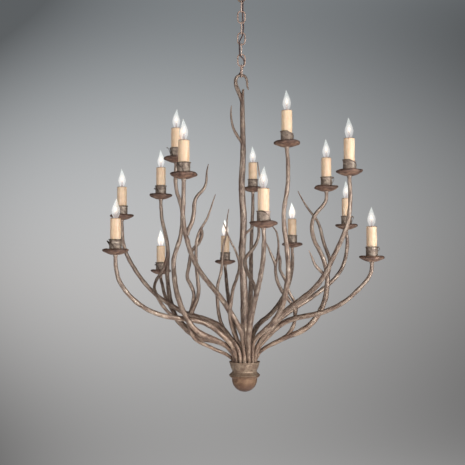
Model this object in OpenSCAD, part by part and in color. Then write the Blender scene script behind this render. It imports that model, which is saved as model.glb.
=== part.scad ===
// Branch chandelier: a hooked stem and fifteen candle arms that rise like
// bare twigs from a cup, hung on seven chain links from a ceiling canopy.
// Units are millimetres. The origin is on the ceiling, over the hook, +Z up,
// and everything hangs below it. The front of the fixture faces -Y.

/* [Ceiling] */
// outside diameter of the canopy
canopy_d = 127; // [110:1:140]
// depth of the canopy below the ceiling
canopy_h = 26; // [22:1:30]
// distance between the two fixing screws of the ceiling strap
screw_spacing = 88.9; // [69.9, 88.9]

/* [Chain] */
// wire diameter of a chain link
link_wire = 3.6; // [3.2:0.1:3.8]
// inside width of a chain link
link_w = 19.9; // [18:0.1:21]

/* [Candles] */
// diameter of a drip dish
dish_d = 77; // [74:1:80]
// outside diameter of a candle sleeve
sleeve_d = 31.8; // [30:0.2:33]
// length of a candle sleeve that shows above its cup
sleeve_show = 62; // [50:1:66]
// largest diameter of a bulb
bulb_d = 25.4; // [22:0.2:26]

/* [Arms] */
// radius of an arm where it reaches its candle
arm_tip_r = 5.4; // [5.0:0.1:5.6]
// radius of an arm at its thickest, a little above the cup
arm_mid_r = 8.6; // [7.6:0.1:9.0]

/* [Part] */
// the sub-part to build, or all

/* [Hidden] */
// Routes are read off the front view. A point is [across, down, back]:
// across and down count in steps of 3.2 mm at the distance of the stem,
// back is in mm away from the viewer, who stands 2450 mm in front of the
// hook, level with row 266. The point's sight line carries it back.
step = 3.2;
view = 2450;
eye_col = 232.5;
hook_col = 241.5;
eye_row = 266;
eye_z = -920;

// ---- frame ----
function at(q) = let (k = 1 + q[2]/view)
  [step*(k*(q[0] - eye_col) - (hook_col - eye_col)), q[2], eye_z + step*k*(eye_row - q[1])];
// the arms stand this much further back towards their tips, which brings their weight under the hook
sway = 42;
function deep(q) = [q[0], q[1], q[2] + sway*min(1, max(0, (340 - q[1])/70))];
cup_x = 9.6;                    // the cup sits this far right of the hook
rim_z = -1224;                  // mouth of the cup
plate_z = -1234;                // top of the hub plate, where the arms stand
ring_r = 35;                    // circle of arm roots
in_ring_r = 21.5;               // circle of twig roots
function root(n) = [cup_x + ring_r*cos(180 + 22.5*n), ring_r*sin(180 + 22.5*n), plate_z];
function rise(n) = root(n) + [0, 0, 9];

// ---- tube along a route ----
function unit(v) = v/norm(v);
function tangents(p) = [for (i = [0:len(p)-1])
  unit(p[min(i+1, len(p)-1)] - p[max(i-1, 0)])];
function flat(v, t) = unit(v - (v*t)*t);
function carry(t) = [for (i = 0, n = flat([0.31, -0.95, 0.02], t[0]); i < len(t);
  i = i + 1, n = flat(n, t[min(i, len(t)-1)])) n];
module tube(p, r, sides = 8) {
  t = tangents(p);
  n = carry(t);
  m = len(p);
  pts = [for (i = [0:m-1]) let (b = cross(t[i], n[i])) for (j = [0:sides-1])
    p[i] + r[i]*(cos(360*j/sides)*n[i] + sin(360*j/sides)*b)];
  faces = concat(
    [[for (j = [0:sides-1]) j]],
    [[for (j = [sides-1:-1:0]) (m-1)*sides + j]],
    [for (i = [0:m-2]) for (j = [0:sides-1]) let (k = (j+1)%sides)
      [i*sides + j, (i+1)*sides + j, i*sides + k]],
    [for (i = [0:m-2]) for (j = [0:sides-1]) let (k = (j+1)%sides)
      [i*sides + k, (i+1)*sides + j, (i+1)*sides + k]]);
  polyhedron(pts, faces);
}
// thickness of an arm: root, swell, tip
function arm_r(u) = lookup(u, [[0, 6], [0.14, 6.3], [0.24, arm_mid_r], [0.42, arm_mid_r - 0.3], [0.62, 6.9], [0.82, 6.1], [1, arm_tip_r]]);
function arm_radii(n) = [for (i = [0:n-1]) arm_r(i/(n-1))];
// thickness of a twig that starts at r0 and thins to r1
function twig_radii(n, r0, r1) = [for (i = [0:n-1]) let (u = i/(n-1)) r0 + (r1 - r0)*pow(u, 2.4)];
function lift(list) = [for (q = list) at(q)];
function reach(list) = [for (q = list) at(deep(q))];

// ---- the candles: [across, down, back] of each drip dish ----
DISH = [
  [287.2, 142, -272], [349.8, 170.8, -311], [326.7, 187.2, -59], [346.6, 225.8, 140], [371.7, 257.4, -162],
  [292.2, 244.2, 363], [263.6, 222.9, -429], [252.9, 188.4, 300], [225.2, 261.4, 350], [183.6, 173.7, -385],
  [175.9, 158, -122], [160.7, 195.4, 90], [121.7, 215.8, 5], [115.6, 250.3, -247], [160.9, 271.1, 400]
];
function seat(i) = at(deep(DISH[i-1]));

// ---- arm routes, root to tip ----
ROUTE = [
  [[252.2, 355.5, -29], [252.2, 349.5, -37], [253.2, 343.5, -48], [256, 338.3, -62], [260.5, 333.8, -78], [266, 329.1, -96],
   [271, 324.4, -114], [275.4, 319, -132], [278.9, 313, -150], [281.7, 306.5, -167], [283.8, 300, -183], [285.4, 293, -197],
   [286.8, 285.5, -211], [287.8, 277.5, -223], [288.2, 269, -232], [288, 260, -240], [287.4, 251.5, -247], [286.4, 243, -253],
   [285.2, 234.5, -258], [284.2, 226, -262], [283.8, 217, -265], [284.3, 208, -268], [285.7, 199.5, -270], [287.2, 191, -271],
   [288.1, 181, -272], [288.4, 171, -272], [288.1, 160.5, -272]],
  [[255, 355.5, -16], [255.8, 349.5, -22], [257.9, 344.3, -30], [261.7, 338.6, -42], [266.5, 332.9, -56], [272, 326.4, -72],
   [277.5, 319.4, -90], [283.5, 312.9, -108], [290.5, 307.2, -128], [298, 301.7, -150], [305.3, 296.2, -172], [312, 290.6, -194],
   [317.5, 284.9, -214], [322, 278.9, -230], [326, 272.4, -244], [329.3, 265.9, -256], [332.5, 258.9, -266], [335.8, 252, -275],
   [339.2, 245, -283], [342.4, 238, -290], [345.2, 231, -296], [347.6, 224, -301], [349.3, 216, -305], [350.2, 207, -308],
   [350.5, 197.5, -310], [350.3, 187.5, -311]],
  [[256.5, 356.5, 14], [259.3, 352, 9], [264.8, 347.8, 1], [272, 343.8, -10], [279, 340.3, -17], [286, 337, -24],
   [293, 334.3, -31], [300, 331.3, -38], [306.5, 327.3, -45], [312, 322.3, -51], [316.3, 317, -56], [319.8, 311.5, -60],
   [322.5, 306, -63], [324.6, 300, -66], [326, 293.5, -68], [326.8, 287, -70], [327.2, 280.5, -72], [326.8, 274, -74],
   [325.6, 267.5, -76], [323.8, 261, -78], [321.6, 255, -78], [318.6, 249, -78], [315.6, 243.5, -76], [313.4, 238, -74],
   [312.2, 232, -72], [312, 226, -70], [313, 220, -68], [315.6, 214.8, -65], [319.2, 210.2, -62], [323, 206, -60],
   [326, 201, -59]],
  [[253, 356, 28], [255, 350, 33], [258.5, 344, 40], [263, 338, 48], [268, 331.5, 56], [274, 325, 64],
   [280.5, 318.5, 72], [287.5, 312.8, 80], [294.5, 308, 88], [301.5, 303.8, 96], [308.5, 299.5, 104], [315, 295, 112],
   [321, 290.5, 119], [326.5, 286.3, 125], [332, 281.5, 130], [337, 276, 134], [341, 270, 137], [344, 263, 139],
   [346, 255.5, 140], [347, 247.5, 140], [347.2, 239.5, 140]],
  [[256, 355.5, -3], [257.3, 350, -7], [260.2, 345, -10], [264.2, 340, -18], [269, 334.8, -28], [274.3, 329.6, -39],
   [280.5, 324.8, -51], [287.3, 320.9, -62], [294.7, 318.2, -74], [302.5, 316.5, -85], [310.5, 315, -96], [318.5, 313.3, -106],
   [326, 311, -115], [333, 308, -124], [340, 304.2, -132], [346.5, 300, -139], [352.5, 295, -145], [358, 289.8, -150],
   [363.3, 284.3, -155], [367.8, 278.7, -158], [370.6, 273, -160]],
  [[249.3, 355, 37], [250.4, 347.5, 48], [251.2, 340, 66], [253.3, 333, 86], [256.5, 327, 110], [261, 321.8, 138],
   [267, 317.3, 168], [273, 311.5, 200], [278.5, 304.5, 234], [283, 297, 266], [286.8, 289.5, 296], [289.6, 281.5, 322],
   [291.4, 273, 342], [292.4, 264.5, 354], [292.6, 256.5, 361]],
  [[248.7, 355.5, -37], [248.6, 349.5, -46], [248.6, 343, -60], [248.9, 336.5, -80], [249.4, 329.5, -105], [250.3, 322, -135],
   [251.6, 314.5, -168], [253.2, 307, -205], [254.9, 300, -240], [256.6, 293, -274], [258.3, 286, -306], [260, 278.5, -337],
   [261.6, 270.5, -365], [262.8, 262, -388], [263.5, 253.5, -406], [263.9, 245, -418], [264, 237, -426]],
  [[244.8, 356, 38], [245.6, 350, 42], [246.5, 343, 48], [247.3, 336, 56], [248.2, 329, 66], [249, 322, 78],
   [249.7, 314, 94], [250.2, 306, 112], [250.5, 297, 132], [250.7, 288, 153], [250.9, 278, 176], [251, 268, 198],
   [251.1, 258, 218], [251.3, 248, 237], [251.6, 238, 254], [252, 228, 268], [252.4, 218, 280], [252.8, 208, 290],
   [253, 199, 297]],
  [[240, 356, 36], [239, 350, 44], [237.3, 343, 58], [235.5, 336, 78], [233.8, 329, 102], [232.2, 322, 130],
   [230.8, 315, 160], [229.6, 308, 192], [228.6, 301, 225], [227.8, 294, 258], [227, 287, 290], [226.3, 280, 318],
   [225.7, 273.5, 338]],
  [[244.3, 355.5, -37], [243.9, 349.5, -41], [243.3, 343, -46], [242.2, 336, -51], [240.2, 329.5, -56], [237, 323.5, -60],
   [233.5, 317.5, -64], [229.8, 311.5, -69], [226, 305.5, -79], [221.5, 299, -96], [215, 290.5, -125], [208, 282, -165],
   [201.5, 273.5, -205], [196.3, 265, -245], [192.3, 256.5, -280], [189.3, 248, -310], [186.7, 239.5, -335], [184.8, 231, -352],
   [183.4, 222, -364], [183, 212, -374], [183.3, 200, -382], [183.5, 190, -385]],
  [[233.8, 356, -17], [232, 351.5, -24], [228.8, 347.8, -34], [224.5, 344.3, -47], [219, 341, -62], [212, 338, -79],
   [205, 335.2, -97], [199, 332, -107], [194, 327.8, -116], [190, 322.8, -123], [186.5, 317, -128], [183.2, 311, -131],
   [180.2, 303.5, -132], [177.8, 296, -130], [175.8, 287, -128], [174.6, 278, -126], [173.8, 268, -124], [174, 259, -123],
   [175.6, 252, -122], [178, 245, -122], [180.4, 237, -122], [181.8, 228, -122], [182.2, 218, -122], [181.8, 209, -122],
   [179.6, 200.5, -122], [177, 193, -122], [175.7, 185, -122], [175.4, 176, -122]],
  [[233.8, 356, 13], [231, 351, 12], [227, 346.8, 10], [221, 343, 6], [213, 340.5, 4], [204, 338.8, 2],
   [196, 336, 2], [190, 332, 4], [183, 325.8, 10], [177, 319, 18], [173.8, 311.5, 28], [171.6, 304.5, 36],
   [169.9, 297.5, 43], [168.7, 290, 50], [167.9, 282, 57], [167.5, 273, 65], [167.7, 264, 72], [168, 255, 78],
   [167.5, 246, 83], [166.2, 238, 86], [164.3, 230, 88], [162.3, 222, 90], [161.3, 213, 90]],
  [[240.2, 355.5, -35], [238.6, 349.5, -36], [235, 343.4, -36], [230.4, 337.6, -33], [225.8, 332, -31], [220.8, 327, -30],
   [215, 323, -30], [209, 320.4, -30], [203, 318.4, -28], [197, 316.6, -25], [190, 314.6, -18], [183, 312, -8],
   [175, 307.5, 3], [167, 302.5, 12], [159, 297, 18], [151, 290, 22], [144, 282, 22], [137.5, 273.5, 19],
   [131, 263, 14], [126.5, 254, 10], [123.8, 246, 7], [122.4, 238, 5], [122, 230, 5]],
  [[236.3, 356, -29], [234, 350.5, -38], [231.4, 344.4, -49], [226.3, 338.4, -59], [219.7, 332.5, -66], [212.5, 327, -72],
   [205, 323, -79], [197, 320.6, -88], [187, 319, -101], [177, 318, -118], [167, 316.5, -136], [157, 313.5, -155],
   [147, 309, -174], [138, 303, -192], [130, 295.5, -208], [123.5, 287.5, -222], [119, 279.5, -234], [116.7, 271, -242],
   [115.8, 263, -246]],
  [[236, 356, 30], [233.5, 351, 45], [229, 347, 64], [222, 343.3, 90], [213.5, 340.3, 120], [205, 337.5, 148],
   [196, 333.5, 180], [188, 328, 212], [181, 321.5, 245], [175, 314.5, 278], [170.5, 307, 308], [167, 300, 334],
   [164.3, 293, 357], [162.8, 286, 376]]
];
// ring of the cup on which each arm stands, counted from the left in sixteenths
SLOT = [6, 7, 9, 10, 8, 11, 5, 12, 13, 4, 1, 15, 3, 2, 14];

function route(i) = let (s = seat(i)) concat([root(SLOT[i-1]), rise(SLOT[i-1])], reach(ROUTE[i-1]),
  [s - [0, 0, 24], s - [0, 0, 15]]);

// ---- twigs: each starts inside what it grows from ----
fork_a = [[186.7, 235, -345], [187.8, 231.3, -347], [189.7, 227.5, -350], [191.8, 222.5, -352], [193.2, 217, -353], [194, 211, -354],
   [194.1, 205, -354], [195.3, 199.5, -354], [198, 195, -353], [201.6, 191.3, -352], [204.5, 187, -350], [206, 182, -348],
   [206.4, 176, -346], [207, 170, -344], [208.3, 164.2, -342]];
fork_b = [[190.5, 315, -18], [191.9, 313, -26], [193.4, 309, -32], [195.6, 304, -38], [197.6, 298, -46], [198.6, 291.5, -54],
   [198.4, 284.5, -62], [197.6, 277.5, -70], [196.8, 270.5, -78], [196.2, 263, -86], [195.9, 255.5, -93], [196, 248, -99],
   [196.8, 241, -104], [198.4, 234.5, -108], [201, 228.8, -112], [204.4, 223.5, -115], [207.4, 218, -118], [209.6, 212, -120],
   [211.6, 206, -122], [213.4, 200.3, -124], [215.3, 194.8, -126]];
fork_c = [[200.8, 229.5, -111], [201.9, 233, -104], [201.2, 237.5, -97], [199.6, 241.3, -91], [197.2, 245, -85], [194.3, 248.3, -80],
   [191.9, 251.5, -76], [190.4, 256.5, -72], [189.6, 262.5, -68], [188.5, 269, -64], [187.4, 275, -60], [187.9, 279.7, -56],
   [190.3, 284, -52], [192.6, 288.8, -48], [193.9, 294, -44], [193.7, 299.5, -39], [192.7, 305, -31], [191.3, 310, -20],
   [189.8, 314.4, -14]];
fork_e = [[327, 277, -73], [328.2, 272.5, -68], [329.5, 267, -62], [329.8, 261.5, -56], [328, 254.8, -52], [325.4, 248, -49],
   [323.3, 241.3, -47], [321.8, 234.8, -46], [320.2, 228.3, -45], [317.8, 222.2, -44], [314.6, 217, -42], [311.2, 212.8, -40],
   [307.6, 208, -38], [304.2, 202.6, -36], [301, 196.8, -34], [298.2, 191.5, -32]];
fork_f = [[324.6, 274.8, -239], [321.8, 272.4, -240], [318.5, 269.2, -242], [315.5, 265.5, -244], [313, 260.5, -246], [311, 255.3, -248],
   [308.9, 250.6, -250]];
fork_g = [[187, 318, -127], [188.8, 323.5, -121], [190, 328.5, -112], [191.5, 333.3, -103], [194.2, 337.6, -94], [198.2, 341, -83],
   [204, 344, -69], [210, 346.7, -56], [216, 349.5, -43], [222, 352, -29], [227.2, 354.5, -15]];
fork_k = [[256.4, 293.5, -272], [255.2, 289, -263], [253.5, 284.5, -252], [251, 279.5, -240], [248.3, 274, -226], [246, 268.5, -212],
   [244.9, 263, -198], [245.8, 258, -186], [248.8, 254, -176], [252.4, 249.8, -168], [255.8, 244.5, -160], [258, 239, -154],
   [258.8, 233, -150], [258.7, 227, -148], [259.2, 220, -147], [260.3, 211, -146], [261.2, 200, -145], [261, 188, -146],
   [259.8, 176, -148], [258.5, 168, -150], [257.8, 162, -150]];
fork_m = [[285.5, 337.4, -23], [288, 334, -27], [291, 330, -32], [293.3, 325.5, -38], [294.5, 320, -45], [294.8, 314, -53],
   [294, 308.5, -62], [291.6, 304, -71], [288.5, 299.5, -80], [285.3, 295.3, -90], [282, 291.3, -98], [279.3, 286.5, -105],
   [277.2, 281, -110], [275.8, 275, -113], [275.4, 269, -114], [276, 263.5, -113], [277.4, 258, -111], [278.3, 251, -108],
   [278.4, 244, -105], [277.8, 237.5, -103], [276.3, 232, -102], [274, 228.5, -101], [271.8, 225.5, -100]];
fork_l = [[278, 254, -109], [280, 259.5, -101], [280, 265, -95], [280, 269.5, -90], [281.7, 274, -86], [284.4, 278.5, -82],
   [286.6, 284, -78], [288, 289.5, -74], [290, 294.5, -69], [292.8, 299, -64], [295, 303.8, -58], [296, 309, -50],
   [294.8, 316, -49]];
fork_n = [[275.7, 266, -114], [274.4, 262, -117], [272.6, 257.6, -120], [270.4, 252.5, -123], [268, 247, -126], [265.8, 242.5, -129]];
fork_p = [[168, 254, 79], [166.5, 260, 73], [164, 267.5, 66], [160.6, 274.3, 58], [157, 279.5, 48], [155, 284.5, 28],
   [154.6, 289.5, 6], [156.3, 294, -10], [158.6, 298.5, -16], [161.8, 303.8, -18], [165.8, 309.2, -14], [170.5, 314, -4],
   [176.5, 318.8, 14]];
twig_c = [[239.3, 355.5, -17], [237.4, 349.8, -20], [234.3, 344, -19], [230.7, 338.4, -16], [227, 333, -12], [223.8, 328, -8],
   [221.2, 322.5, -6], [219.6, 317, -6], [218.5, 311, -8], [217.8, 304, -12], [217.3, 297, -16], [217.3, 290, -20],
   [218, 284, -22], [219.6, 278, -23], [221.2, 271, -22], [222, 263.5, -20], [222.4, 256, -18], [223, 249, -16],
   [224.2, 242.5, -14], [225.9, 236, -12], [226.8, 229, -12], [227, 221, -14], [227.8, 215, -16], [228.8, 209.5, -18]];
twig_d = [[243.2, 355.5, -22], [241.9, 350, -23], [239.9, 344.3, -27], [236.6, 338, -37], [233.4, 331, -52], [231.4, 325, -67],
   [230.1, 318.5, -79], [229.9, 311.5, -86], [230.7, 304.5, -86], [231.8, 297.5, -80], [232.8, 290.5, -70], [234.6, 284, -58],
   [236.8, 278, -46], [238.6, 272, -35], [239.3, 266.5, -27], [238.6, 260.5, -23], [236.8, 254.5, -24], [234, 248, -28],
   [230.8, 242, -33], [228.3, 236, -38], [226.2, 230, -42], [224.6, 226, -44], [223.3, 223, -45]];

// ---- stem ----
stem_path = [[243.6, 352, 0], [244, 340, 0], [244.2, 326, 0], [244.3, 308, 0], [244, 291, 0], [243.3, 276, 0], [242.4, 263, 0],
   [242.1, 250, 0], [243.2, 235, 0], [243.6, 219, 0], [242.6, 202, 0], [241.8, 187, 0], [242.4, 170, 0], [243.2, 151, 0],
   [243, 136, 0], [242.6, 121, 0], [242.4, 108, 0], [242.5, 98, 0], [243, 91, 0], [243.3, 88.7, 0]];
stem_radii = [11.0, 11.4, 12.0, 12.2, 12.2, 12.2, 11.9, 11.6, 11.3, 11.0, 10.7, 10.4, 10.3, 10.1, 9.6, 8.8, 8.4, 8.0, 7.7, 6.2, 4.2, 3.4];
hook_path = [[242, 103, 0], [241.4, 99, 0], [240.3, 95, 0], [238.9, 91.5, 0], [237.4, 88, 0], [236.2, 84.6, 0], [235.7, 81.2, 0], [235.9, 78, 0],
   [237.2, 75.6, 0], [239.2, 74.3, 0], [241.4, 74, 0], [243.7, 74.4, 0], [245.7, 76, 0], [246.9, 78.8, 0], [247.3, 82, 0],
   [247.5, 85.4, 0], [248.6, 88.3, 0]];
hook_radii = [5.0, 5.8, 6.4, 6.8, 6.8, 6.5, 6.1, 5.6, 4.9, 4.4, 4.4, 4.3, 4.2, 4.0, 3.6, 3.0, 2.0];
stub_path = [[242.9, 145, 0], [241, 140.6, -3], [238, 136.6, -5], [234.9, 131.2, -6], [232.6, 125, -6], [231.2, 118, -6],
   [230.9, 111.5, -6], [231.4, 105, -6]];
spur_path = [[243.4, 235.5, 0], [246.6, 232.8, -3], [249.6, 230.4, -6], [252.2, 227.8, -9], [255, 224.5, -12]];

// ---- chain ----
wire_r = link_wire/2;
gap = 0.15;
inner_l = 35.55;                // inside length of a link
pitch = inner_l - gap;
loop_r = 2.5;                   // wire radius of the canopy loop
bar_low = at([241.4, 74, 0])[2] - 4.4;      // underside of the hook's bar
// height of the bottom wire of link 7, 6 ... 1, then of the loop's wire
function wire_z(n) = bar_low - gap - wire_r + (7 - n)*pitch;
loop_z = wire_z(1) + wire_r + inner_l - gap - loop_r;

// one closed link standing in the XZ plane, inside bottom at z = 0
module link_shape() {
  w = link_w/2 + wire_r;
  z0 = link_w/2;
  z1 = inner_l - link_w/2;
  for (s = [-1, 1]) translate([s*w, 0, z0]) cylinder(h = z1 - z0, r = wire_r, $fn = 48);
  translate([0, 0, z1]) rotate([90, 0, 0]) rotate_extrude(angle = 180, $fn = 72) translate([w, 0]) circle(r = wire_r, $fn = 48);
  translate([0, 0, z0]) rotate([90, 0, 0]) rotate([0, 0, 180]) rotate_extrude(angle = 180, $fn = 72) translate([w, 0]) circle(r = wire_r, $fn = 48);
}
// links 1, 3, 5 and 7 are seen edge on, 2, 4 and 6 face on
module link(n) color([0.62, 0.47, 0.36]) translate([0, 0, wire_z(n) + wire_r]) rotate([0, 0, n%2 == 1 ? 90 : 0]) link_shape();

// ---- ceiling fitting ----
canopy_z = -canopy_h;
module ceiling_strap() color([0.7, 0.7, 0.7]) difference() {
  translate([-52, -9, -2.4]) cube([104, 18, 2.4]);
  translate([0, 0, -10]) cylinder(h = 12, r = 4.85, $fn = 64);
  translate([24, 0, -10]) cylinder(h = 12, r = 2.05, $fn = 48);
  for (s = [-1, 1]) translate([s*screw_spacing/2, 0, -10]) cylinder(h = 12, r = 2.35, $fn = 48);
}
module ground_screw() color([0.3, 0.5, 0.3]) translate([24, 0, 0]) difference() {
  union() {
    translate([0, 0, -3]) cylinder(h = 3, r = 2.0, $fn = 48);
    translate([0, 0, -5]) cylinder(h = 2.5, r = 4.2, $fn = 6);
  }
  translate([-5, -0.5, -6]) cube([10, 1, 1.8]);
}
module feed_nipple() color([0.75, 0.68, 0.45]) difference() {
  translate([0, 0, canopy_z - 9]) cylinder(h = -canopy_z + 9, r = 4.8, $fn = 64);
  translate([0, 0, canopy_z - 10]) cylinder(h = -canopy_z + 12, r = 3.4, $fn = 48);
}
module canopy() color([0.45, 0.36, 0.28]) {
  R = canopy_d/2;
  H = canopy_h;
  rotate_extrude($fn = 144) polygon([[R, 0], [R, -3], [R - 2, -4.6], [R - 7, -6.4], [R*0.72, -H*0.52], [R*0.42, -H*0.8], [17, -H + 1], [13, -H],
    [5.2, -H], [5.2, -H + 1.6], [12.6, -H + 1.6], [16.4, -H + 2.6], [R*0.42 - 0.8, -H*0.8 + 1.6], [R*0.72 - 0.8, -H*0.52 + 1.6], [R - 7.8, -4.8], [R - 3.2, -3.4], [R - 1.6, -2.2], [R - 1.6, 0]]);
}
module canopy_ring_nut() color([0.5, 0.4, 0.3]) difference() {
  union() {
    translate([0, 0, canopy_z - 2.2]) cylinder(h = 2.2, r = 13, $fn = 96);
    translate([0, 0, canopy_z - 6.2]) cylinder(h = 4.2, r = 10.8, $fn = 96);
  }
  translate([0, 0, canopy_z - 8]) cylinder(h = 10, r = 7.15, $fn = 72);
}
module canopy_loop() color([0.5, 0.4, 0.3]) {
  lr = 10.6;                    // radius of the loop at the middle of its wire
  zc = loop_z + lr;
  difference() {
    union() {
      translate([0, 0, zc]) rotate([90, 0, 0]) rotate_extrude($fn = 96) translate([lr, 0]) circle(r = loop_r, $fn = 48);
      translate([0, 0, zc + lr - 1]) cylinder(h = canopy_z - 0.3 - (zc + lr - 1), r = 7.0, $fn = 72);
    }
    translate([0, 0, canopy_z - 9.2]) cylinder(h = 12, r = 4.85, $fn = 64);
    translate([0, 0, zc + lr - 4]) cylinder(h = 20, r = 2.7, $fn = 48);
  }
}

// ---- candles ----
module on_seats() for (i = [1:15]) translate(seat(i)) children();
module drip_dishes() color([0.42, 0.26, 0.17]) on_seats() let (R = dish_d/2) rotate_extrude($fn = 96)
  polygon([[5.2, -10.8], [11, -10.8], [16, -9.8], [22, -7.6], [R - 10.5, -4.8], [R - 5, -2.4], [R - 1, -1], [R, -0.2],
    [R - 0.4, 0.8], [R - 3, 2.2], [R - 6, 3.8], [R - 9.5, 4.6], [R - 12, 3.2], [22.4, -3.2], [18.9, -7.6], [18.4, -9], [5.2, -9]]);
cup_top = 32;                   // rim of a candle cup above the edge of its dish
top_z = cup_top + sleeve_show;  // top of a sleeve above the edge of its dish
module candle_cups() color([0.5, 0.44, 0.37]) on_seats() difference() {
  union() {
    translate([0, 0, -9]) cylinder(h = cup_top + 8.6, r = sleeve_d/2 + 1.9, $fn = 96);
    translate([0, 0, cup_top - 1.8]) cylinder(h = 1.8, r = sleeve_d/2 + 4.0, $fn = 96);
  }
  translate([0, 0, -7.6]) cylinder(h = cup_top + 12, r = sleeve_d/2 + 0.4, $fn = 96);
  translate([0, 0, -11]) cylinder(h = 6, r = 5.2, $fn = 48);
}
module seat_nipples() color([0.75, 0.68, 0.45]) on_seats() difference() {
  translate([0, 0, -16.8]) cylinder(h = 19.8, r = 4.8, $fn = 64);
  translate([0, 0, -18]) cylinder(h = 24, r = 3.3, $fn = 48);
}
module seat_locknuts() color([0.72, 0.72, 0.7]) on_seats() difference() {
  translate([0, 0, -7.6]) cylinder(h = 2.8, r = 8, $fn = 6);
  translate([0, 0, -9]) cylinder(h = 6, r = 4.85, $fn = 64);
}
module lamp_sockets() color([0.9, 0.89, 0.85]) on_seats() difference() {
  union() {
    translate([0, 0, -4.6]) cylinder(h = 13, r = 7, $fn = 72);
    translate([0, 0, 8]) cylinder(h = 32, r = 4.4, $fn = 64);
    translate([0, 0, 39]) cylinder(h = top_z - 2.5 - 39, r = 9.2, $fn = 72);
  }
  translate([0, 0, -6]) cylinder(h = 9.4, r = 4.9, $fn = 64);
  translate([0, 0, top_z - 25]) cylinder(h = 30, r = 6.4, $fn = 64);
}
module candle_sleeves() color([0.86, 0.7, 0.5]) on_seats() difference() {
  translate([0, 0, -7.5]) cylinder(h = top_z + 7.5, r = sleeve_d/2, $fn = 96);
  translate([0, 0, -9]) cylinder(h = top_z + 12, r = sleeve_d/2 - 1.4, $fn = 96);
}
module bulb(i) color([0.97, 0.95, 0.9]) translate(seat(i)) translate([0, 0, top_z]) {
  R = bulb_d/2;
  rotate_extrude($fn = 72) polygon([[0, -24], [3, -24], [4, -22], [5.9, -21], [5.9, -2.4], [6.4, -1.4], [7, 0.6], [8.6, 4.4], [10.6, 9], [R - 0.8, 14],
    [R, 20], [R - 0.3, 25], [R - 1.4, 30], [R - 3.1, 35], [R - 5.3, 40], [R - 7.6, 45], [3, 50], [1.7, 54.6], [0.8, 58.4], [0, 60]]);
}

// ---- arms ----
module neck(i) translate(seat(i)) rotate_extrude($fn = 72)
  polygon([[0, -19.4], [arm_tip_r - 1, -19.4], [arm_tip_r + 1.2, -17.6], [7, -15.2], [7.2, -13.4], [9, -12], [10.4, -10.8], [0, -10.8]]);
module plain_arm(i) difference() {
  p = route(i);
  union() {
    tube(p, arm_radii(len(p)), 8);
    neck(i);
  }
  translate(seat(i)) translate([0, 0, -17]) cylinder(h = 12, r = 4.85, $fn = 64);
}
module twig(list, r0, r1, sides = 6) tube(reach(list), twig_radii(len(list), r0, r1), sides);
bark = [0.45, 0.38, 0.31];
module arm_01() color(bark) plain_arm(1);
module arm_02() color(bark) { plain_arm(2); twig(fork_f, 4.8, 1.2); }
module arm_03() color(bark) {
  plain_arm(3);
  twig(fork_m, 6, 1.6);
  twig(fork_l, 4.6, 5);
  twig(fork_n, 4.6, 1.3);
  twig(fork_e, 5.8, 1.5);
}
module arm_04() color(bark) plain_arm(4);
module arm_05() color(bark) plain_arm(5);
module arm_06() color(bark) plain_arm(6);
module arm_07() color(bark) { plain_arm(7); twig(fork_k, 5.8, 1.3); }
module arm_08() color(bark) plain_arm(8);
module arm_09() color(bark) plain_arm(9);
module arm_10() color(bark) { plain_arm(10); twig(fork_a, 6.2, 1.3); }
module arm_11() color(bark) {
  plain_arm(11);
  p = concat(reach(fork_g), [rise(0), root(0)]);
  tube(p, [for (i = [0:len(p)-1]) 5.4], 8);
}
module arm_12() color(bark) { plain_arm(12); twig(fork_p, 5, 5.2); }
module arm_13() color(bark) { plain_arm(13); twig(fork_b, 6.2, 1.3); twig(fork_c, 5.4, 5.8); }
module arm_14() color(bark) plain_arm(14);
module arm_15() color(bark) plain_arm(15);
module cup_twigs() color(bark) {
  c0 = [cup_x + in_ring_r*cos(216), in_ring_r*sin(216), plate_z];
  pc = concat([c0, c0 + [0, 0, 9]], lift(twig_c));
  tube(pc, twig_radii(len(pc), 6, 1.3), 6);
  d0 = [cup_x + in_ring_r*cos(254), in_ring_r*sin(254), plate_z];
  pd = concat([d0, d0 + [0, 0, 9]], lift(twig_d));
  tube(pd, twig_radii(len(pd), 5.8, 1.3), 6);
}
module bore_to(a, b, r) {
  d = b - a;
  translate(a) rotate([0, acos(d[2]/norm(d)), atan2(d[1], d[0])]) cylinder(h = norm(d), r = r, $fn = 48);
}
module hooked_stem() color(bark) {
  s0 = [cup_x, 0, plate_z];
  difference() {
    union() {
      tube(concat([s0, s0 + [0, 0, 14]], lift(stem_path)), stem_radii, 12);
      tube(lift(hook_path), hook_radii, 10);
    }
    translate([cup_x, 0, plate_z - 1]) cylinder(h = 27, r = 4.9, $fn = 64);
    bore_to(cord_end, cord_in + 0.3*(cord_in - cord_end), 2.8);
  }
  tube(lift(stub_path), twig_radii(len(stub_path), 4.8, 1.3), 6);
  tube(lift(spur_path), twig_radii(len(spur_path), 4.2, 1.8), 6);
}

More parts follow.
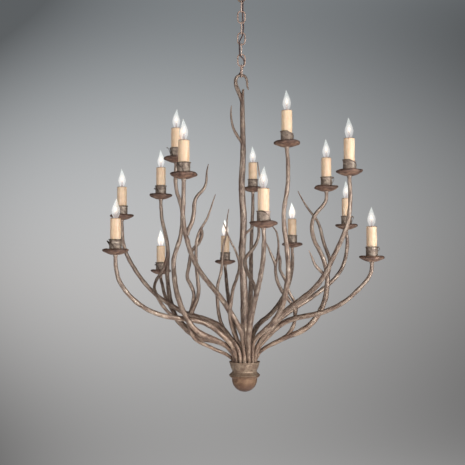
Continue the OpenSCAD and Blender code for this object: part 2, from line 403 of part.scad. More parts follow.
// ---- hub ----
module arm_cup() color([0.5, 0.4, 0.31]) translate([cup_x, 0, 0]) rotate_extrude($fn = 144)
  polygon([[46.2, rim_z], [49, rim_z - 0.6], [49.4, rim_z - 2], [48.6, rim_z - 3.6], [47.2, rim_z - 6], [45.8, rim_z - 12], [43, rim_z - 20], [39.6, rim_z - 26],
    [38.4, rim_z - 29], [39.4, rim_z - 32], [41.6, rim_z - 34.6], [45.4, rim_z - 38], [49, rim_z - 41.4], [49.4, rim_z - 42.4], [48.8, rim_z - 43], [38, rim_z - 43],
    [38, rim_z - 41], [40, rim_z - 38], [36.6, rim_z - 33.4], [36, rim_z - 29], [37.2, rim_z - 24.6], [39.4, rim_z - 20], [39.4, rim_z - 14], [42.6, rim_z - 14],
    [44.4, rim_z - 7], [45.6, rim_z - 3]]);
module hub_plate() color([0.6, 0.6, 0.58]) translate([cup_x, 0, 0]) difference() {
  translate([0, 0, plate_z - 4]) cylinder(h = 4, r = 42.2, $fn = 120);
  translate([0, 0, plate_z - 6]) cylinder(h = 8, r = 4.9, $fn = 64);
  for (n = [0:15]) rotate([0, 0, 22.5*n]) translate([ring_r, 0, plate_z - 6]) cylinder(h = 8, r = 3, $fn = 36);
}
bowl_top = rim_z - 43;
module hub_rod() color([0.75, 0.68, 0.45]) translate([cup_x, 0, 0]) difference() {
  translate([0, 0, bowl_top - 40]) cylinder(h = plate_z + 24 - (bowl_top - 40), r = 4.8, $fn = 64);
  translate([0, 0, bowl_top - 41]) cylinder(h = plate_z + 26 - (bowl_top - 41), r = 3.3, $fn = 48);
}
module hub_locknuts() color([0.72, 0.72, 0.7]) translate([cup_x, 0, 0]) for (z = [plate_z - 4 - 3.2, plate_z - 4 - 7.2]) difference() {
  translate([0, 0, z]) cylinder(h = 3, r = 8, $fn = 6);
  translate([0, 0, z - 1]) cylinder(h = 6, r = 4.85, $fn = 64);
}
module hub_wire_nuts() color([0.85, 0.45, 0.15]) translate([cup_x, 0, 0]) for (n = [0:2]) rotate([0, 0, 120*n + 20]) translate([20, 0, bowl_top - 6])
  rotate_extrude($fn = 48) polygon([[0, 0], [3.4, 0], [5.6, 18], [6.2, 22], [4.4, 22], [4.2, 17], [0, 15]]);
module finial_bowl() color([0.47, 0.37, 0.28]) translate([cup_x, 0, 0]) difference() {
  rotate_extrude($fn = 144) polygon([[36.6, bowl_top - 0.3], [48.6, bowl_top - 0.3], [49, bowl_top - 1], [47.4, bowl_top - 3], [44, bowl_top - 5.6], [41.2, bowl_top - 8], [40.2, bowl_top - 11],
    [40.2, bowl_top - 14], [39, bowl_top - 22], [36.2, bowl_top - 30], [31.6, bowl_top - 37.4], [25, bowl_top - 43.8], [16.6, bowl_top - 48.8], [8, bowl_top - 51.4], [0, bowl_top - 52],
    [0, bowl_top - 33], [8.4, bowl_top - 33], [8.4, bowl_top - 47.4], [15.6, bowl_top - 45.8], [23.4, bowl_top - 41.2], [29.4, bowl_top - 35.6], [33.8, bowl_top - 28.8],
    [36.4, bowl_top - 21], [37.6, bowl_top - 14], [37.8, bowl_top - 8], [37, bowl_top - 5]]);
  translate([0, 0, bowl_top - 42]) cylinder(h = 20, r = 4.9, $fn = 64);
}

// ---- supply cord: woven through the chain, then behind the hook into the stem ----
cord_r = 2.1;
cord_route = [
  [0, 0, -42], [0.2, -0.2, -47.5], [2, -2.4, -51.5], [3.8, -4.8, -56], [4.8, -6, -61.5], [5, -5.8, -67.5], [4.9, -4.4, -75], [4.8, -1.5, -82.5],
  [4.8, 2.2, -89.5], [4.7, 4.8, -95], [4.6, 5.2, -99.5], [4.2, 5, -106], [3.8, 4.8, -113.5], [4.6, 4.8, -122], [5.6, 4.8, -129], [6.3, 4.7, -136],
  [6.6, 4.6, -144], [6.4, 4.6, -152], [5.6, 4.8, -159.5], [4.9, 4.9, -165], [4.4, 4.4, -169.8], [3.2, 2.8, -175.5], [1, 0.6, -181], [-1.8, -1.8, -186.5],
  [-4.2, -3.8, -192], [-6, -4.8, -198], [-6.6, -5, -204.5], [-6.6, -4.6, -212], [-6.6, -4.2, -220], [-6.2, -4.6, -228], [-5.8, -5.2, -234.5], [-5, -5.4, -239.6],
  [-3.2, -5, -244], [0, -3.8, -247.2], [3.4, -1.2, -249.2], [6.4, 1.6, -252.6], [8.4, 4.4, -257.4], [8.8, 6.8, -264], [7.4, 10.2, -270.5], [4.8, 13.8, -276.5],
  [1.6, 16.4, -283], [-2, 17, -290], [-6.4, 15.6, -297], [-11, 12.6, -304], [-14.8, 10.2, -312], [-17.4, 9, -321], [-18, 8.8, -330], [-16.4, 9, -340],
  [-13, 9.4, -350], [-8.4, 10, -360], [-3.8, 10.8, -369.5], [-0.2, 11.6, -377.5]
];
cord_in = at([242.1, 99, 10.8]);     // where the cord enters the back of the stem
cord_end = at([242.5, 104.5, 0]);
module supply_cord() color([0.16, 0.1, 0.07]) {
  p = concat([[0, 0, -1], [0, 0, -14], [0, 0, -28]], cord_route, [cord_in, cord_in + 0.8*(cord_end - cord_in)]);
  tube(p, [for (i = p) cord_r], 8);
}

// ---- one module for each sub-part in NODES ----
module chain_link_1() link(1);
module chain_link_2() link(2);
module chain_link_3() link(3);
module chain_link_4() link(4);
module chain_link_5() link(5);
module chain_link_6() link(6);
module chain_link_7() link(7);
module bulb_01() bulb(1);
module bulb_02() bulb(2);
module bulb_03() bulb(3);
module bulb_04() bulb(4);
module bulb_05() bulb(5);
module bulb_06() bulb(6);
module bulb_07() bulb(7);
module bulb_08() bulb(8);
module bulb_09() bulb(9);
module bulb_10() bulb(10);
module bulb_11() bulb(11);
module bulb_12() bulb(12);
module bulb_13() bulb(13);
module bulb_14() bulb(14);
module bulb_15() bulb(15);

ceiling_strap();
ground_screw();
feed_nipple();
canopy();
canopy_loop();
canopy_ring_nut();
chain_link_1();
chain_link_2();
chain_link_3();
chain_link_4();
chain_link_5();
chain_link_6();
chain_link_7();
supply_cord();
hooked_stem();
arm_01();
arm_02();
arm_03();
arm_04();
arm_05();
arm_06();
arm_07();
arm_08();
arm_09();
arm_10();
arm_11();
arm_12();
arm_13();
arm_14();
arm_15();
cup_twigs();
arm_cup();
hub_plate();
hub_rod();
hub_locknuts();
hub_wire_nuts();
finial_bowl();
drip_dishes();
candle_cups();
seat_nipples();
seat_locknuts();
lamp_sockets();
candle_sleeves();
bulb_01();
bulb_02();
bulb_03();
bulb_04();
bulb_05();
bulb_06();
bulb_07();
bulb_08();
bulb_09();
bulb_10();
bulb_11();
bulb_12();
bulb_13();
bulb_14();
bulb_15();
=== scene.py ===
import math
import random

import bmesh
import bpy
import numpy as np
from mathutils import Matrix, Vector, noise


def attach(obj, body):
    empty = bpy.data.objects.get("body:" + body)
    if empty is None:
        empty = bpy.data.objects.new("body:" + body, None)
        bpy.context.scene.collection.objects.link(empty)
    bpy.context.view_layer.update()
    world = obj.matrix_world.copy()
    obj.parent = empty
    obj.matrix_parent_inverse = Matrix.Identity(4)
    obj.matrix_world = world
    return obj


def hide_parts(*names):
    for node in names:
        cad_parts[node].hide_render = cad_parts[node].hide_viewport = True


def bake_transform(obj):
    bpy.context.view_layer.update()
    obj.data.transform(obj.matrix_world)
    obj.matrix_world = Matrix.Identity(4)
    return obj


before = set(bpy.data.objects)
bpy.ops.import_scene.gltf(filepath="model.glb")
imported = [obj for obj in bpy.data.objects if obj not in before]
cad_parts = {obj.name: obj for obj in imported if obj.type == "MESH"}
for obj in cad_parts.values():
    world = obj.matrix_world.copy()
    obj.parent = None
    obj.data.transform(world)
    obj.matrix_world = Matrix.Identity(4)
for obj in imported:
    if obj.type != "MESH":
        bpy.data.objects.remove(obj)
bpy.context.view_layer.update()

MM = 0.001

# ---------------------------------------------------------------- the frame's own routes, as in part.scad
STEP, VIEW, EYE_COL, HOOK_COL, EYE_ROW, EYE_Z, SWAY = 3.2, 2450.0, 232.5, 241.5, 266.0, -920.0, 42.0
CUP_X, RIM_Z, PLATE_Z, RING_R, IN_RING_R = 9.6, -1224.0, -1234.0, 35.0, 21.5
BOWL_TOP = RIM_Z - 43
TOP_Z, CUP_TOP, DISH_R = 94.0, 32.0, 38.5
DISH = [
  [287.2, 142, -272], [349.8, 170.8, -311], [326.7, 187.2, -59], [346.6, 225.8, 140], [371.7, 257.4, -162],
  [292.2, 244.2, 363], [263.6, 222.9, -429], [252.9, 188.4, 300], [225.2, 261.4, 350], [183.6, 173.7, -385],
  [175.9, 158, -122], [160.7, 195.4, 90], [121.7, 215.8, 5], [115.6, 250.3, -247], [160.9, 271.1, 400]
]
ROUTE = [
  [[252.2, 355.5, -29], [252.2, 349.5, -37], [253.2, 343.5, -48], [256, 338.3, -62], [260.5, 333.8, -78], [266, 329.1, -96],
   [271, 324.4, -114], [275.4, 319, -132], [278.9, 313, -150], [281.7, 306.5, -167], [283.8, 300, -183], [285.4, 293, -197],
   [286.8, 285.5, -211], [287.8, 277.5, -223], [288.2, 269, -232], [288, 260, -240], [287.4, 251.5, -247], [286.4, 243, -253],
   [285.2, 234.5, -258], [284.2, 226, -262], [283.8, 217, -265], [284.3, 208, -268], [285.7, 199.5, -270], [287.2, 191, -271],
   [288.1, 181, -272], [288.4, 171, -272], [288.1, 160.5, -272]],
  [[255, 355.5, -16], [255.8, 349.5, -22], [257.9, 344.3, -30], [261.7, 338.6, -42], [266.5, 332.9, -56], [272, 326.4, -72],
   [277.5, 319.4, -90], [283.5, 312.9, -108], [290.5, 307.2, -128], [298, 301.7, -150], [305.3, 296.2, -172], [312, 290.6, -194],
   [317.5, 284.9, -214], [322, 278.9, -230], [326, 272.4, -244], [329.3, 265.9, -256], [332.5, 258.9, -266], [335.8, 252, -275],
   [339.2, 245, -283], [342.4, 238, -290], [345.2, 231, -296], [347.6, 224, -301], [349.3, 216, -305], [350.2, 207, -308],
   [350.5, 197.5, -310], [350.3, 187.5, -311]],
  [[256.5, 356.5, 14], [259.3, 352, 9], [264.8, 347.8, 1], [272, 343.8, -10], [279, 340.3, -17], [286, 337, -24],
   [293, 334.3, -31], [300, 331.3, -38], [306.5, 327.3, -45], [312, 322.3, -51], [316.3, 317, -56], [319.8, 311.5, -60],
   [322.5, 306, -63], [324.6, 300, -66], [326, 293.5, -68], [326.8, 287, -70], [327.2, 280.5, -72], [326.8, 274, -74],
   [325.6, 267.5, -76], [323.8, 261, -78], [321.6, 255, -78], [318.6, 249, -78], [315.6, 243.5, -76], [313.4, 238, -74],
   [312.2, 232, -72], [312, 226, -70], [313, 220, -68], [315.6, 214.8, -65], [319.2, 210.2, -62], [323, 206, -60],
   [326, 201, -59]],
  [[253, 356, 28], [255, 350, 33], [258.5, 344, 40], [263, 338, 48], [268, 331.5, 56], [274, 325, 64],
   [280.5, 318.5, 72], [287.5, 312.8, 80], [294.5, 308, 88], [301.5, 303.8, 96], [308.5, 299.5, 104], [315, 295, 112],
   [321, 290.5, 119], [326.5, 286.3, 125], [332, 281.5, 130], [337, 276, 134], [341, 270, 137], [344, 263, 139],
   [346, 255.5, 140], [347, 247.5, 140], [347.2, 239.5, 140]],
  [[256, 355.5, -3], [257.3, 350, -7], [260.2, 345, -10], [264.2, 340, -18], [269, 334.8, -28], [274.3, 329.6, -39],
   [280.5, 324.8, -51], [287.3, 320.9, -62], [294.7, 318.2, -74], [302.5, 316.5, -85], [310.5, 315, -96], [318.5, 313.3, -106],
   [326, 311, -115], [333, 308, -124], [340, 304.2, -132], [346.5, 300, -139], [352.5, 295, -145], [358, 289.8, -150],
   [363.3, 284.3, -155], [367.8, 278.7, -158], [370.6, 273, -160]],
  [[249.3, 355, 37], [250.4, 347.5, 48], [251.2, 340, 66], [253.3, 333, 86], [256.5, 327, 110], [261, 321.8, 138],
   [267, 317.3, 168], [273, 311.5, 200], [278.5, 304.5, 234], [283, 297, 266], [286.8, 289.5, 296], [289.6, 281.5, 322],
   [291.4, 273, 342], [292.4, 264.5, 354], [292.6, 256.5, 361]],
  [[248.7, 355.5, -37], [248.6, 349.5, -46], [248.6, 343, -60], [248.9, 336.5, -80], [249.4, 329.5, -105], [250.3, 322, -135],
   [251.6, 314.5, -168], [253.2, 307, -205], [254.9, 300, -240], [256.6, 293, -274], [258.3, 286, -306], [260, 278.5, -337],
   [261.6, 270.5, -365], [262.8, 262, -388], [263.5, 253.5, -406], [263.9, 245, -418], [264, 237, -426]],
  [[244.8, 356, 38], [245.6, 350, 42], [246.5, 343, 48], [247.3, 336, 56], [248.2, 329, 66], [249, 322, 78],
   [249.7, 314, 94], [250.2, 306, 112], [250.5, 297, 132], [250.7, 288, 153], [250.9, 278, 176], [251, 268, 198],
   [251.1, 258, 218], [251.3, 248, 237], [251.6, 238, 254], [252, 228, 268], [252.4, 218, 280], [252.8, 208, 290],
   [253, 199, 297]],
  [[240, 356, 36], [239, 350, 44], [237.3, 343, 58], [235.5, 336, 78], [233.8, 329, 102], [232.2, 322, 130],
   [230.8, 315, 160], [229.6, 308, 192], [228.6, 301, 225], [227.8, 294, 258], [227, 287, 290], [226.3, 280, 318],
   [225.7, 273.5, 338]],
  [[244.3, 355.5, -37], [243.9, 349.5, -41], [243.3, 343, -46], [242.2, 336, -51], [240.2, 329.5, -56], [237, 323.5, -60],
   [233.5, 317.5, -64], [229.8, 311.5, -69], [226, 305.5, -79], [221.5, 299, -96], [215, 290.5, -125], [208, 282, -165],
   [201.5, 273.5, -205], [196.3, 265, -245], [192.3, 256.5, -280], [189.3, 248, -310], [186.7, 239.5, -335], [184.8, 231, -352],
   [183.4, 222, -364], [183, 212, -374], [183.3, 200, -382], [183.5, 190, -385]],
  [[233.8, 356, -17], [232, 351.5, -24], [228.8, 347.8, -34], [224.5, 344.3, -47], [219, 341, -62], [212, 338, -79],
   [205, 335.2, -97], [199, 332, -107], [194, 327.8, -116], [190, 322.8, -123], [186.5, 317, -128], [183.2, 311, -131],
   [180.2, 303.5, -132], [177.8, 296, -130], [175.8, 287, -128], [174.6, 278, -126], [173.8, 268, -124], [174, 259, -123],
   [175.6, 252, -122], [178, 245, -122], [180.4, 237, -122], [181.8, 228, -122], [182.2, 218, -122], [181.8, 209, -122],
   [179.6, 200.5, -122], [177, 193, -122], [175.7, 185, -122], [175.4, 176, -122]],
  [[233.8, 356, 13], [231, 351, 12], [227, 346.8, 10], [221, 343, 6], [213, 340.5, 4], [204, 338.8, 2],
   [196, 336, 2], [190, 332, 4], [183, 325.8, 10], [177, 319, 18], [173.8, 311.5, 28], [171.6, 304.5, 36],
   [169.9, 297.5, 43], [168.7, 290, 50], [167.9, 282, 57], [167.5, 273, 65], [167.7, 264, 72], [168, 255, 78],
   [167.5, 246, 83], [166.2, 238, 86], [164.3, 230, 88], [162.3, 222, 90], [161.3, 213, 90]],
  [[240.2, 355.5, -35], [238.6, 349.5, -36], [235, 343.4, -36], [230.4, 337.6, -33], [225.8, 332, -31], [220.8, 327, -30],
   [215, 323, -30], [209, 320.4, -30], [203, 318.4, -28], [197, 316.6, -25], [190, 314.6, -18], [183, 312, -8],
   [175, 307.5, 3], [167, 302.5, 12], [159, 297, 18], [151, 290, 22], [144, 282, 22], [137.5, 273.5, 19],
   [131, 263, 14], [126.5, 254, 10], [123.8, 246, 7], [122.4, 238, 5], [122, 230, 5]],
  [[236.3, 356, -29], [234, 350.5, -38], [231.4, 344.4, -49], [226.3, 338.4, -59], [219.7, 332.5, -66], [212.5, 327, -72],
   [205, 323, -79], [197, 320.6, -88], [187, 319, -101], [177, 318, -118], [167, 316.5, -136], [157, 313.5, -155],
   [147, 309, -174], [138, 303, -192], [130, 295.5, -208], [123.5, 287.5, -222], [119, 279.5, -234], [116.7, 271, -242],
   [115.8, 263, -246]],
  [[236, 356, 30], [233.5, 351, 45], [229, 347, 64], [222, 343.3, 90], [213.5, 340.3, 120], [205, 337.5, 148],
   [196, 333.5, 180], [188, 328, 212], [181, 321.5, 245], [175, 314.5, 278], [170.5, 307, 308], [167, 300, 334],
   [164.3, 293, 357], [162.8, 286, 376]]
]
SLOT = [6, 7, 9, 10, 8, 11, 5, 12, 13, 4, 1, 15, 3, 2, 14]
FORK_A = [[186.7, 235, -345], [187.8, 231.3, -347], [189.7, 227.5, -350], [191.8, 222.5, -352], [193.2, 217, -353], [194, 211, -354],
   [194.1, 205, -354], [195.3, 199.5, -354], [198, 195, -353], [201.6, 191.3, -352], [204.5, 187, -350], [206, 182, -348],
   [206.4, 176, -346], [207, 170, -344], [208.3, 164.2, -342]]
FORK_B = [[190.5, 315, -18], [191.9, 313, -26], [193.4, 309, -32], [195.6, 304, -38], [197.6, 298, -46], [198.6, 291.5, -54],
   [198.4, 284.5, -62], [197.6, 277.5, -70], [196.8, 270.5, -78], [196.2, 263, -86], [195.9, 255.5, -93], [196, 248, -99],
   [196.8, 241, -104], [198.4, 234.5, -108], [201, 228.8, -112], [204.4, 223.5, -115], [207.4, 218, -118], [209.6, 212, -120],
   [211.6, 206, -122], [213.4, 200.3, -124], [215.3, 194.8, -126]]
FORK_C = [[200.8, 229.5, -111], [201.9, 233, -104], [201.2, 237.5, -97], [199.6, 241.3, -91], [197.2, 245, -85], [194.3, 248.3, -80],
   [191.9, 251.5, -76], [190.4, 256.5, -72], [189.6, 262.5, -68], [188.5, 269, -64], [187.4, 275, -60], [187.9, 279.7, -56],
   [190.3, 284, -52], [192.6, 288.8, -48], [193.9, 294, -44], [193.7, 299.5, -39], [192.7, 305, -31], [191.3, 310, -20],
   [189.8, 314.4, -14]]
FORK_E = [[327, 277, -73], [328.2, 272.5, -68], [329.5, 267, -62], [329.8, 261.5, -56], [328, 254.8, -52], [325.4, 248, -49],
   [323.3, 241.3, -47], [321.8, 234.8, -46], [320.2, 228.3, -45], [317.8, 222.2, -44], [314.6, 217, -42], [311.2, 212.8, -40],
   [307.6, 208, -38], [304.2, 202.6, -36], [301, 196.8, -34], [298.2, 191.5, -32]]
FORK_F = [[324.6, 274.8, -239], [321.8, 272.4, -240], [318.5, 269.2, -242], [315.5, 265.5, -244], [313, 260.5, -246], [311, 255.3, -248],
   [308.9, 250.6, -250]]
FORK_G = [[187, 318, -127], [188.8, 323.5, -121], [190, 328.5, -112], [191.5, 333.3, -103], [194.2, 337.6, -94], [198.2, 341, -83],
   [204, 344, -69], [210, 346.7, -56], [216, 349.5, -43], [222, 352, -29], [227.2, 354.5, -15]]
FORK_K = [[256.4, 293.5, -272], [255.2, 289, -263], [253.5, 284.5, -252], [251, 279.5, -240], [248.3, 274, -226], [246, 268.5, -212],
   [244.9, 263, -198], [245.8, 258, -186], [248.8, 254, -176], [252.4, 249.8, -168], [255.8, 244.5, -160], [258, 239, -154],
   [258.8, 233, -150], [258.7, 227, -148], [259.2, 220, -147], [260.3, 211, -146], [261.2, 200, -145], [261, 188, -146],
   [259.8, 176, -148], [258.5, 168, -150], [257.8, 162, -150]]
FORK_M = [[285.5, 337.4, -23], [288, 334, -27], [291, 330, -32], [293.3, 325.5, -38], [294.5, 320, -45], [294.8, 314, -53],
   [294, 308.5, -62], [291.6, 304, -71], [288.5, 299.5, -80], [285.3, 295.3, -90], [282, 291.3, -98], [279.3, 286.5, -105],
   [277.2, 281, -110], [275.8, 275, -113], [275.4, 269, -114], [276, 263.5, -113], [277.4, 258, -111], [278.3, 251, -108],
   [278.4, 244, -105], [277.8, 237.5, -103], [276.3, 232, -102], [274, 228.5, -101], [271.8, 225.5, -100]]
FORK_L = [[278, 254, -109], [280, 259.5, -101], [280, 265, -95], [280, 269.5, -90], [281.7, 274, -86], [284.4, 278.5, -82],
   [286.6, 284, -78], [288, 289.5, -74], [290, 294.5, -69], [292.8, 299, -64], [295, 303.8, -58], [296, 309, -50],
   [294.8, 316, -49]]
FORK_N = [[275.7, 266, -114], [274.4, 262, -117], [272.6, 257.6, -120], [270.4, 252.5, -123], [268, 247, -126], [265.8, 242.5, -129]]
FORK_P = [[168, 254, 79], [166.5, 260, 73], [164, 267.5, 66], [160.6, 274.3, 58], [157, 279.5, 48], [155, 284.5, 28],
   [154.6, 289.5, 6], [156.3, 294, -10], [158.6, 298.5, -16], [161.8, 303.8, -18], [165.8, 309.2, -14], [170.5, 314, -4],
   [176.5, 318.8, 14]]
TWIG_C = [[239.3, 355.5, -17], [237.4, 349.8, -20], [234.3, 344, -19], [230.7, 338.4, -16], [227, 333, -12], [223.8, 328, -8],
   [221.2, 322.5, -6], [219.6, 317, -6], [218.5, 311, -8], [217.8, 304, -12], [217.3, 297, -16], [217.3, 290, -20],
   [218, 284, -22], [219.6, 278, -23], [221.2, 271, -22], [222, 263.5, -20], [222.4, 256, -18], [223, 249, -16],
   [224.2, 242.5, -14], [225.9, 236, -12], [226.8, 229, -12], [227, 221, -14], [227.8, 215, -16], [228.8, 209.5, -18]]
TWIG_D = [[243.2, 355.5, -22], [241.9, 350, -23], [239.9, 344.3, -27], [236.6, 338, -37], [233.4, 331, -52], [231.4, 325, -67],
   [230.1, 318.5, -79], [229.9, 311.5, -86], [230.7, 304.5, -86], [231.8, 297.5, -80], [232.8, 290.5, -70], [234.6, 284, -58],
   [236.8, 278, -46], [238.6, 272, -35], [239.3, 266.5, -27], [238.6, 260.5, -23], [236.8, 254.5, -24], [234, 248, -28],
   [230.8, 242, -33], [228.3, 236, -38], [226.2, 230, -42], [224.6, 226, -44], [223.3, 223, -45]]
STEM_PATH = [[243.6, 352, 0], [244, 340, 0], [244.2, 326, 0], [244.3, 308, 0], [244, 291, 0], [243.3, 276, 0], [242.4, 263, 0],
   [242.1, 250, 0], [243.2, 235, 0], [243.6, 219, 0], [242.6, 202, 0], [241.8, 187, 0], [242.4, 170, 0], [243.2, 151, 0],
   [243, 136, 0], [242.6, 121, 0], [242.4, 108, 0], [242.5, 98, 0], [243, 91, 0], [243.3, 88.7, 0]]
STEM_RADII = [11.0, 11.4, 12.0, 12.2, 12.2, 12.2, 11.9, 11.6, 11.3, 11.0, 10.7, 10.4, 10.3, 10.1, 9.6, 8.8, 8.4, 8.0, 7.7, 6.2, 4.2, 3.4]
HOOK_PATH = [[242, 103, 0], [241.4, 99, 0], [240.3, 95, 0], [238.9, 91.5, 0], [237.4, 88, 0], [236.2, 84.6, 0], [235.7, 81.2, 0], [235.9, 78, 0],
   [237.2, 75.6, 0], [239.2, 74.3, 0], [241.4, 74, 0], [243.7, 74.4, 0], [245.7, 76, 0], [246.9, 78.8, 0], [247.3, 82, 0],
   [247.5, 85.4, 0], [248.6, 88.3, 0]]
HOOK_RADII = [5.0, 5.8, 6.4, 6.8, 6.8, 6.5, 6.1, 5.6, 4.9, 4.4, 4.4, 4.3, 4.2, 4.0, 3.6, 3.0, 2.0]
STUB_PATH = [[242.9, 145, 0], [241, 140.6, -3], [238, 136.6, -5], [234.9, 131.2, -6], [232.6, 125, -6], [231.2, 118, -6],
   [230.9, 111.5, -6], [231.4, 105, -6]]
SPUR_PATH = [[243.4, 235.5, 0], [246.6, 232.8, -3], [249.6, 230.4, -6], [252.2, 227.8, -9], [255, 224.5, -12]]
CORD_ROUTE = [
  [0, 0, -42], [0.2, -0.2, -47.5], [2, -2.4, -51.5], [3.8, -4.8, -56], [4.8, -6, -61.5], [5, -5.8, -67.5], [4.9, -4.4, -75], [4.8, -1.5, -82.5],
  [4.8, 2.2, -89.5], [4.7, 4.8, -95], [4.6, 5.2, -99.5], [4.2, 5, -106], [3.8, 4.8, -113.5], [4.6, 4.8, -122], [5.6, 4.8, -129], [6.3, 4.7, -136],
  [6.6, 4.6, -144], [6.4, 4.6, -152], [5.6, 4.8, -159.5], [4.9, 4.9, -165], [4.4, 4.4, -169.8], [3.2, 2.8, -175.5], [1, 0.6, -181], [-1.8, -1.8, -186.5],
  [-4.2, -3.8, -192], [-6, -4.8, -198], [-6.6, -5, -204.5], [-6.6, -4.6, -212], [-6.6, -4.2, -220], [-6.2, -4.6, -228], [-5.8, -5.2, -234.5], [-5, -5.4, -239.6],
  [-3.2, -5, -244], [0, -3.8, -247.2], [3.4, -1.2, -249.2], [6.4, 1.6, -252.6], [8.4, 4.4, -257.4], [8.8, 6.8, -264], [7.4, 10.2, -270.5], [4.8, 13.8, -276.5],
  [1.6, 16.4, -283], [-2, 17, -290], [-6.4, 15.6, -297], [-11, 12.6, -304], [-14.8, 10.2, -312], [-17.4, 9, -321], [-18, 8.8, -330], [-16.4, 9, -340],
  [-13, 9.4, -350], [-8.4, 10, -360], [-3.8, 10.8, -369.5], [-0.2, 11.6, -377.5]
]


def at(q):
    k = 1 + q[2] / VIEW
    return np.array([STEP * (k * (q[0] - EYE_COL) - (HOOK_COL - EYE_COL)), q[2], EYE_Z + STEP * k * (EYE_ROW - q[1])])


def deep(q):
    return (q[0], q[1], q[2] + SWAY * min(1.0, max(0.0, (340 - q[1]) / 70)))


def lift(qs):
    return [at(q) for q in qs]


def reach(qs):
    return [at(deep(q)) for q in qs]


def root(n):
    a = math.radians(180 + 22.5 * n)
    return np.array([CUP_X + RING_R * math.cos(a), RING_R * math.sin(a), PLATE_Z])


def seat(i):
    return at(deep(DISH[i - 1]))


UP9 = np.array([0.0, 0.0, 9.0])
CANDLES = range(1, 16)


def nz(x, y, z):
    return noise.noise(Vector((x, y, z)))


# ---------------------------------------------------------------- node helpers
class Mat:
    """A material with short calls for its nodes."""

    def __init__(self, name):
        self.m = bpy.data.materials.new(name)
        self.m.use_nodes = True
        self.nt = self.m.node_tree
        self.nt.nodes.clear()
        self.out = self.nt.nodes.new("ShaderNodeOutputMaterial")
        self.b = self.nt.nodes.new("ShaderNodeBsdfPrincipled")
        self.link(self.b.outputs[0], self.out.inputs[0])
        self.tc = self.nt.nodes.new("ShaderNodeTexCoord")

    def link(self, a, b):
        self.nt.links.new(a, b)

    def put(self, socket, value):
        if isinstance(value, bpy.types.NodeSocket):
            self.link(value, socket)
        elif isinstance(value, (tuple, list)) and len(value) == 3 and socket.type == "RGBA":
            socket.default_value = (*value, 1.0)
        else:
            socket.default_value = value

    def set(self, **kw):
        for k, v in kw.items():
            self.put(self.b.inputs[k.replace("_", " ")], v)

    def attr(self, name, out="Fac"):
        n = self.nt.nodes.new("ShaderNodeAttribute")
        n.attribute_name = name
        return n.outputs[out]

    def coord(self, kind="Object"):
        return self.tc.outputs[kind]

    def scale(self, vec, s, loc=(0, 0, 0)):
        n = self.nt.nodes.new("ShaderNodeMapping")
        self.link(vec, n.inputs["Vector"])
        n.inputs["Scale"].default_value = s
        n.inputs["Location"].default_value = loc
        return n.outputs[0]

    def noise(self, vec, scale, detail=4.0, rough=0.55, dist=0.0):
        n = self.nt.nodes.new("ShaderNodeTexNoise")
        self.link(vec, n.inputs["Vector"])
        n.inputs["Scale"].default_value = scale
        n.inputs["Detail"].default_value = detail
        n.inputs["Roughness"].default_value = rough
        n.inputs["Distortion"].default_value = dist
        return n.outputs["Fac"]

    def voronoi(self, vec, scale, feature="F1", rand=1.0):
        n = self.nt.nodes.new("ShaderNodeTexVoronoi")
        n.feature = feature
        self.link(vec, n.inputs["Vector"])
        n.inputs["Scale"].default_value = scale
        n.inputs["Randomness"].default_value = rand
        return n.outputs["Distance"]

    def wave(self, vec, scale, dist=0.0, direction="Z", detail=2.0):
        n = self.nt.nodes.new("ShaderNodeTexWave")
        n.bands_direction = direction
        self.link(vec, n.inputs["Vector"])
        n.inputs["Scale"].default_value = scale
        n.inputs["Distortion"].default_value = dist
        n.inputs["Detail"].default_value = detail
        return n.outputs["Fac"]

    def ramp(self, fac, stops, interp="EASE"):
        n = self.nt.nodes.new("ShaderNodeValToRGB")
        self.link(fac, n.inputs[0])
        r = n.color_ramp
        r.interpolation = interp
        while len(r.elements) < len(stops):
            r.elements.new(0.5)
        for e, (p, c) in zip(r.elements, stops):
            e.position = p
            e.color = (*c, 1.0) if isinstance(c, tuple) else (c, c, c, 1.0)
        return n.outputs[0]

    def math(self, op, a, b=None, clamp=False):
        n = self.nt.nodes.new("ShaderNodeMath")
        n.operation = op
        n.use_clamp = clamp
        self.put(n.inputs[0], a)
        if b is not None:
            self.put(n.inputs[1], b)
        return n.outputs[0]

    def map(self, v, a, b, c, d):
        n = self.nt.nodes.new("ShaderNodeMapRange")
        self.put(n.inputs["Value"], v)
        for k, x in (("From Min", a), ("From Max", b), ("To Min", c), ("To Max", d)):
            self.put(n.inputs[k], x)
        return n.outputs[0]

    def mix(self, fac, a, b, blend="MIX"):
        n = self.nt.nodes.new("ShaderNodeMix")
        n.data_type = "RGBA"
        n.blend_type = blend
        self.put(n.inputs["Factor"], fac)
        self.put([s for s in n.inputs if s.name == "A" and s.type == "RGBA"][0], a)
        self.put([s for s in n.inputs if s.name == "B" and s.type == "RGBA"][0], b)
        return [s for s in n.outputs if s.type == "RGBA"][0]

    def split(self, vec):
        n = self.nt.nodes.new("ShaderNodeSeparateXYZ")
        self.link(vec, n.inputs[0])
        return n.outputs

    def bump(self, height, strength, dist, normal=None):
        n = self.nt.nodes.new("ShaderNodeBump")
        self.link(height, n.inputs["Height"])
        n.inputs["Strength"].default_value = strength
        n.inputs["Distance"].default_value = dist
        if normal is not None:
            self.link(normal, n.inputs["Normal"])
        return n.outputs[0]


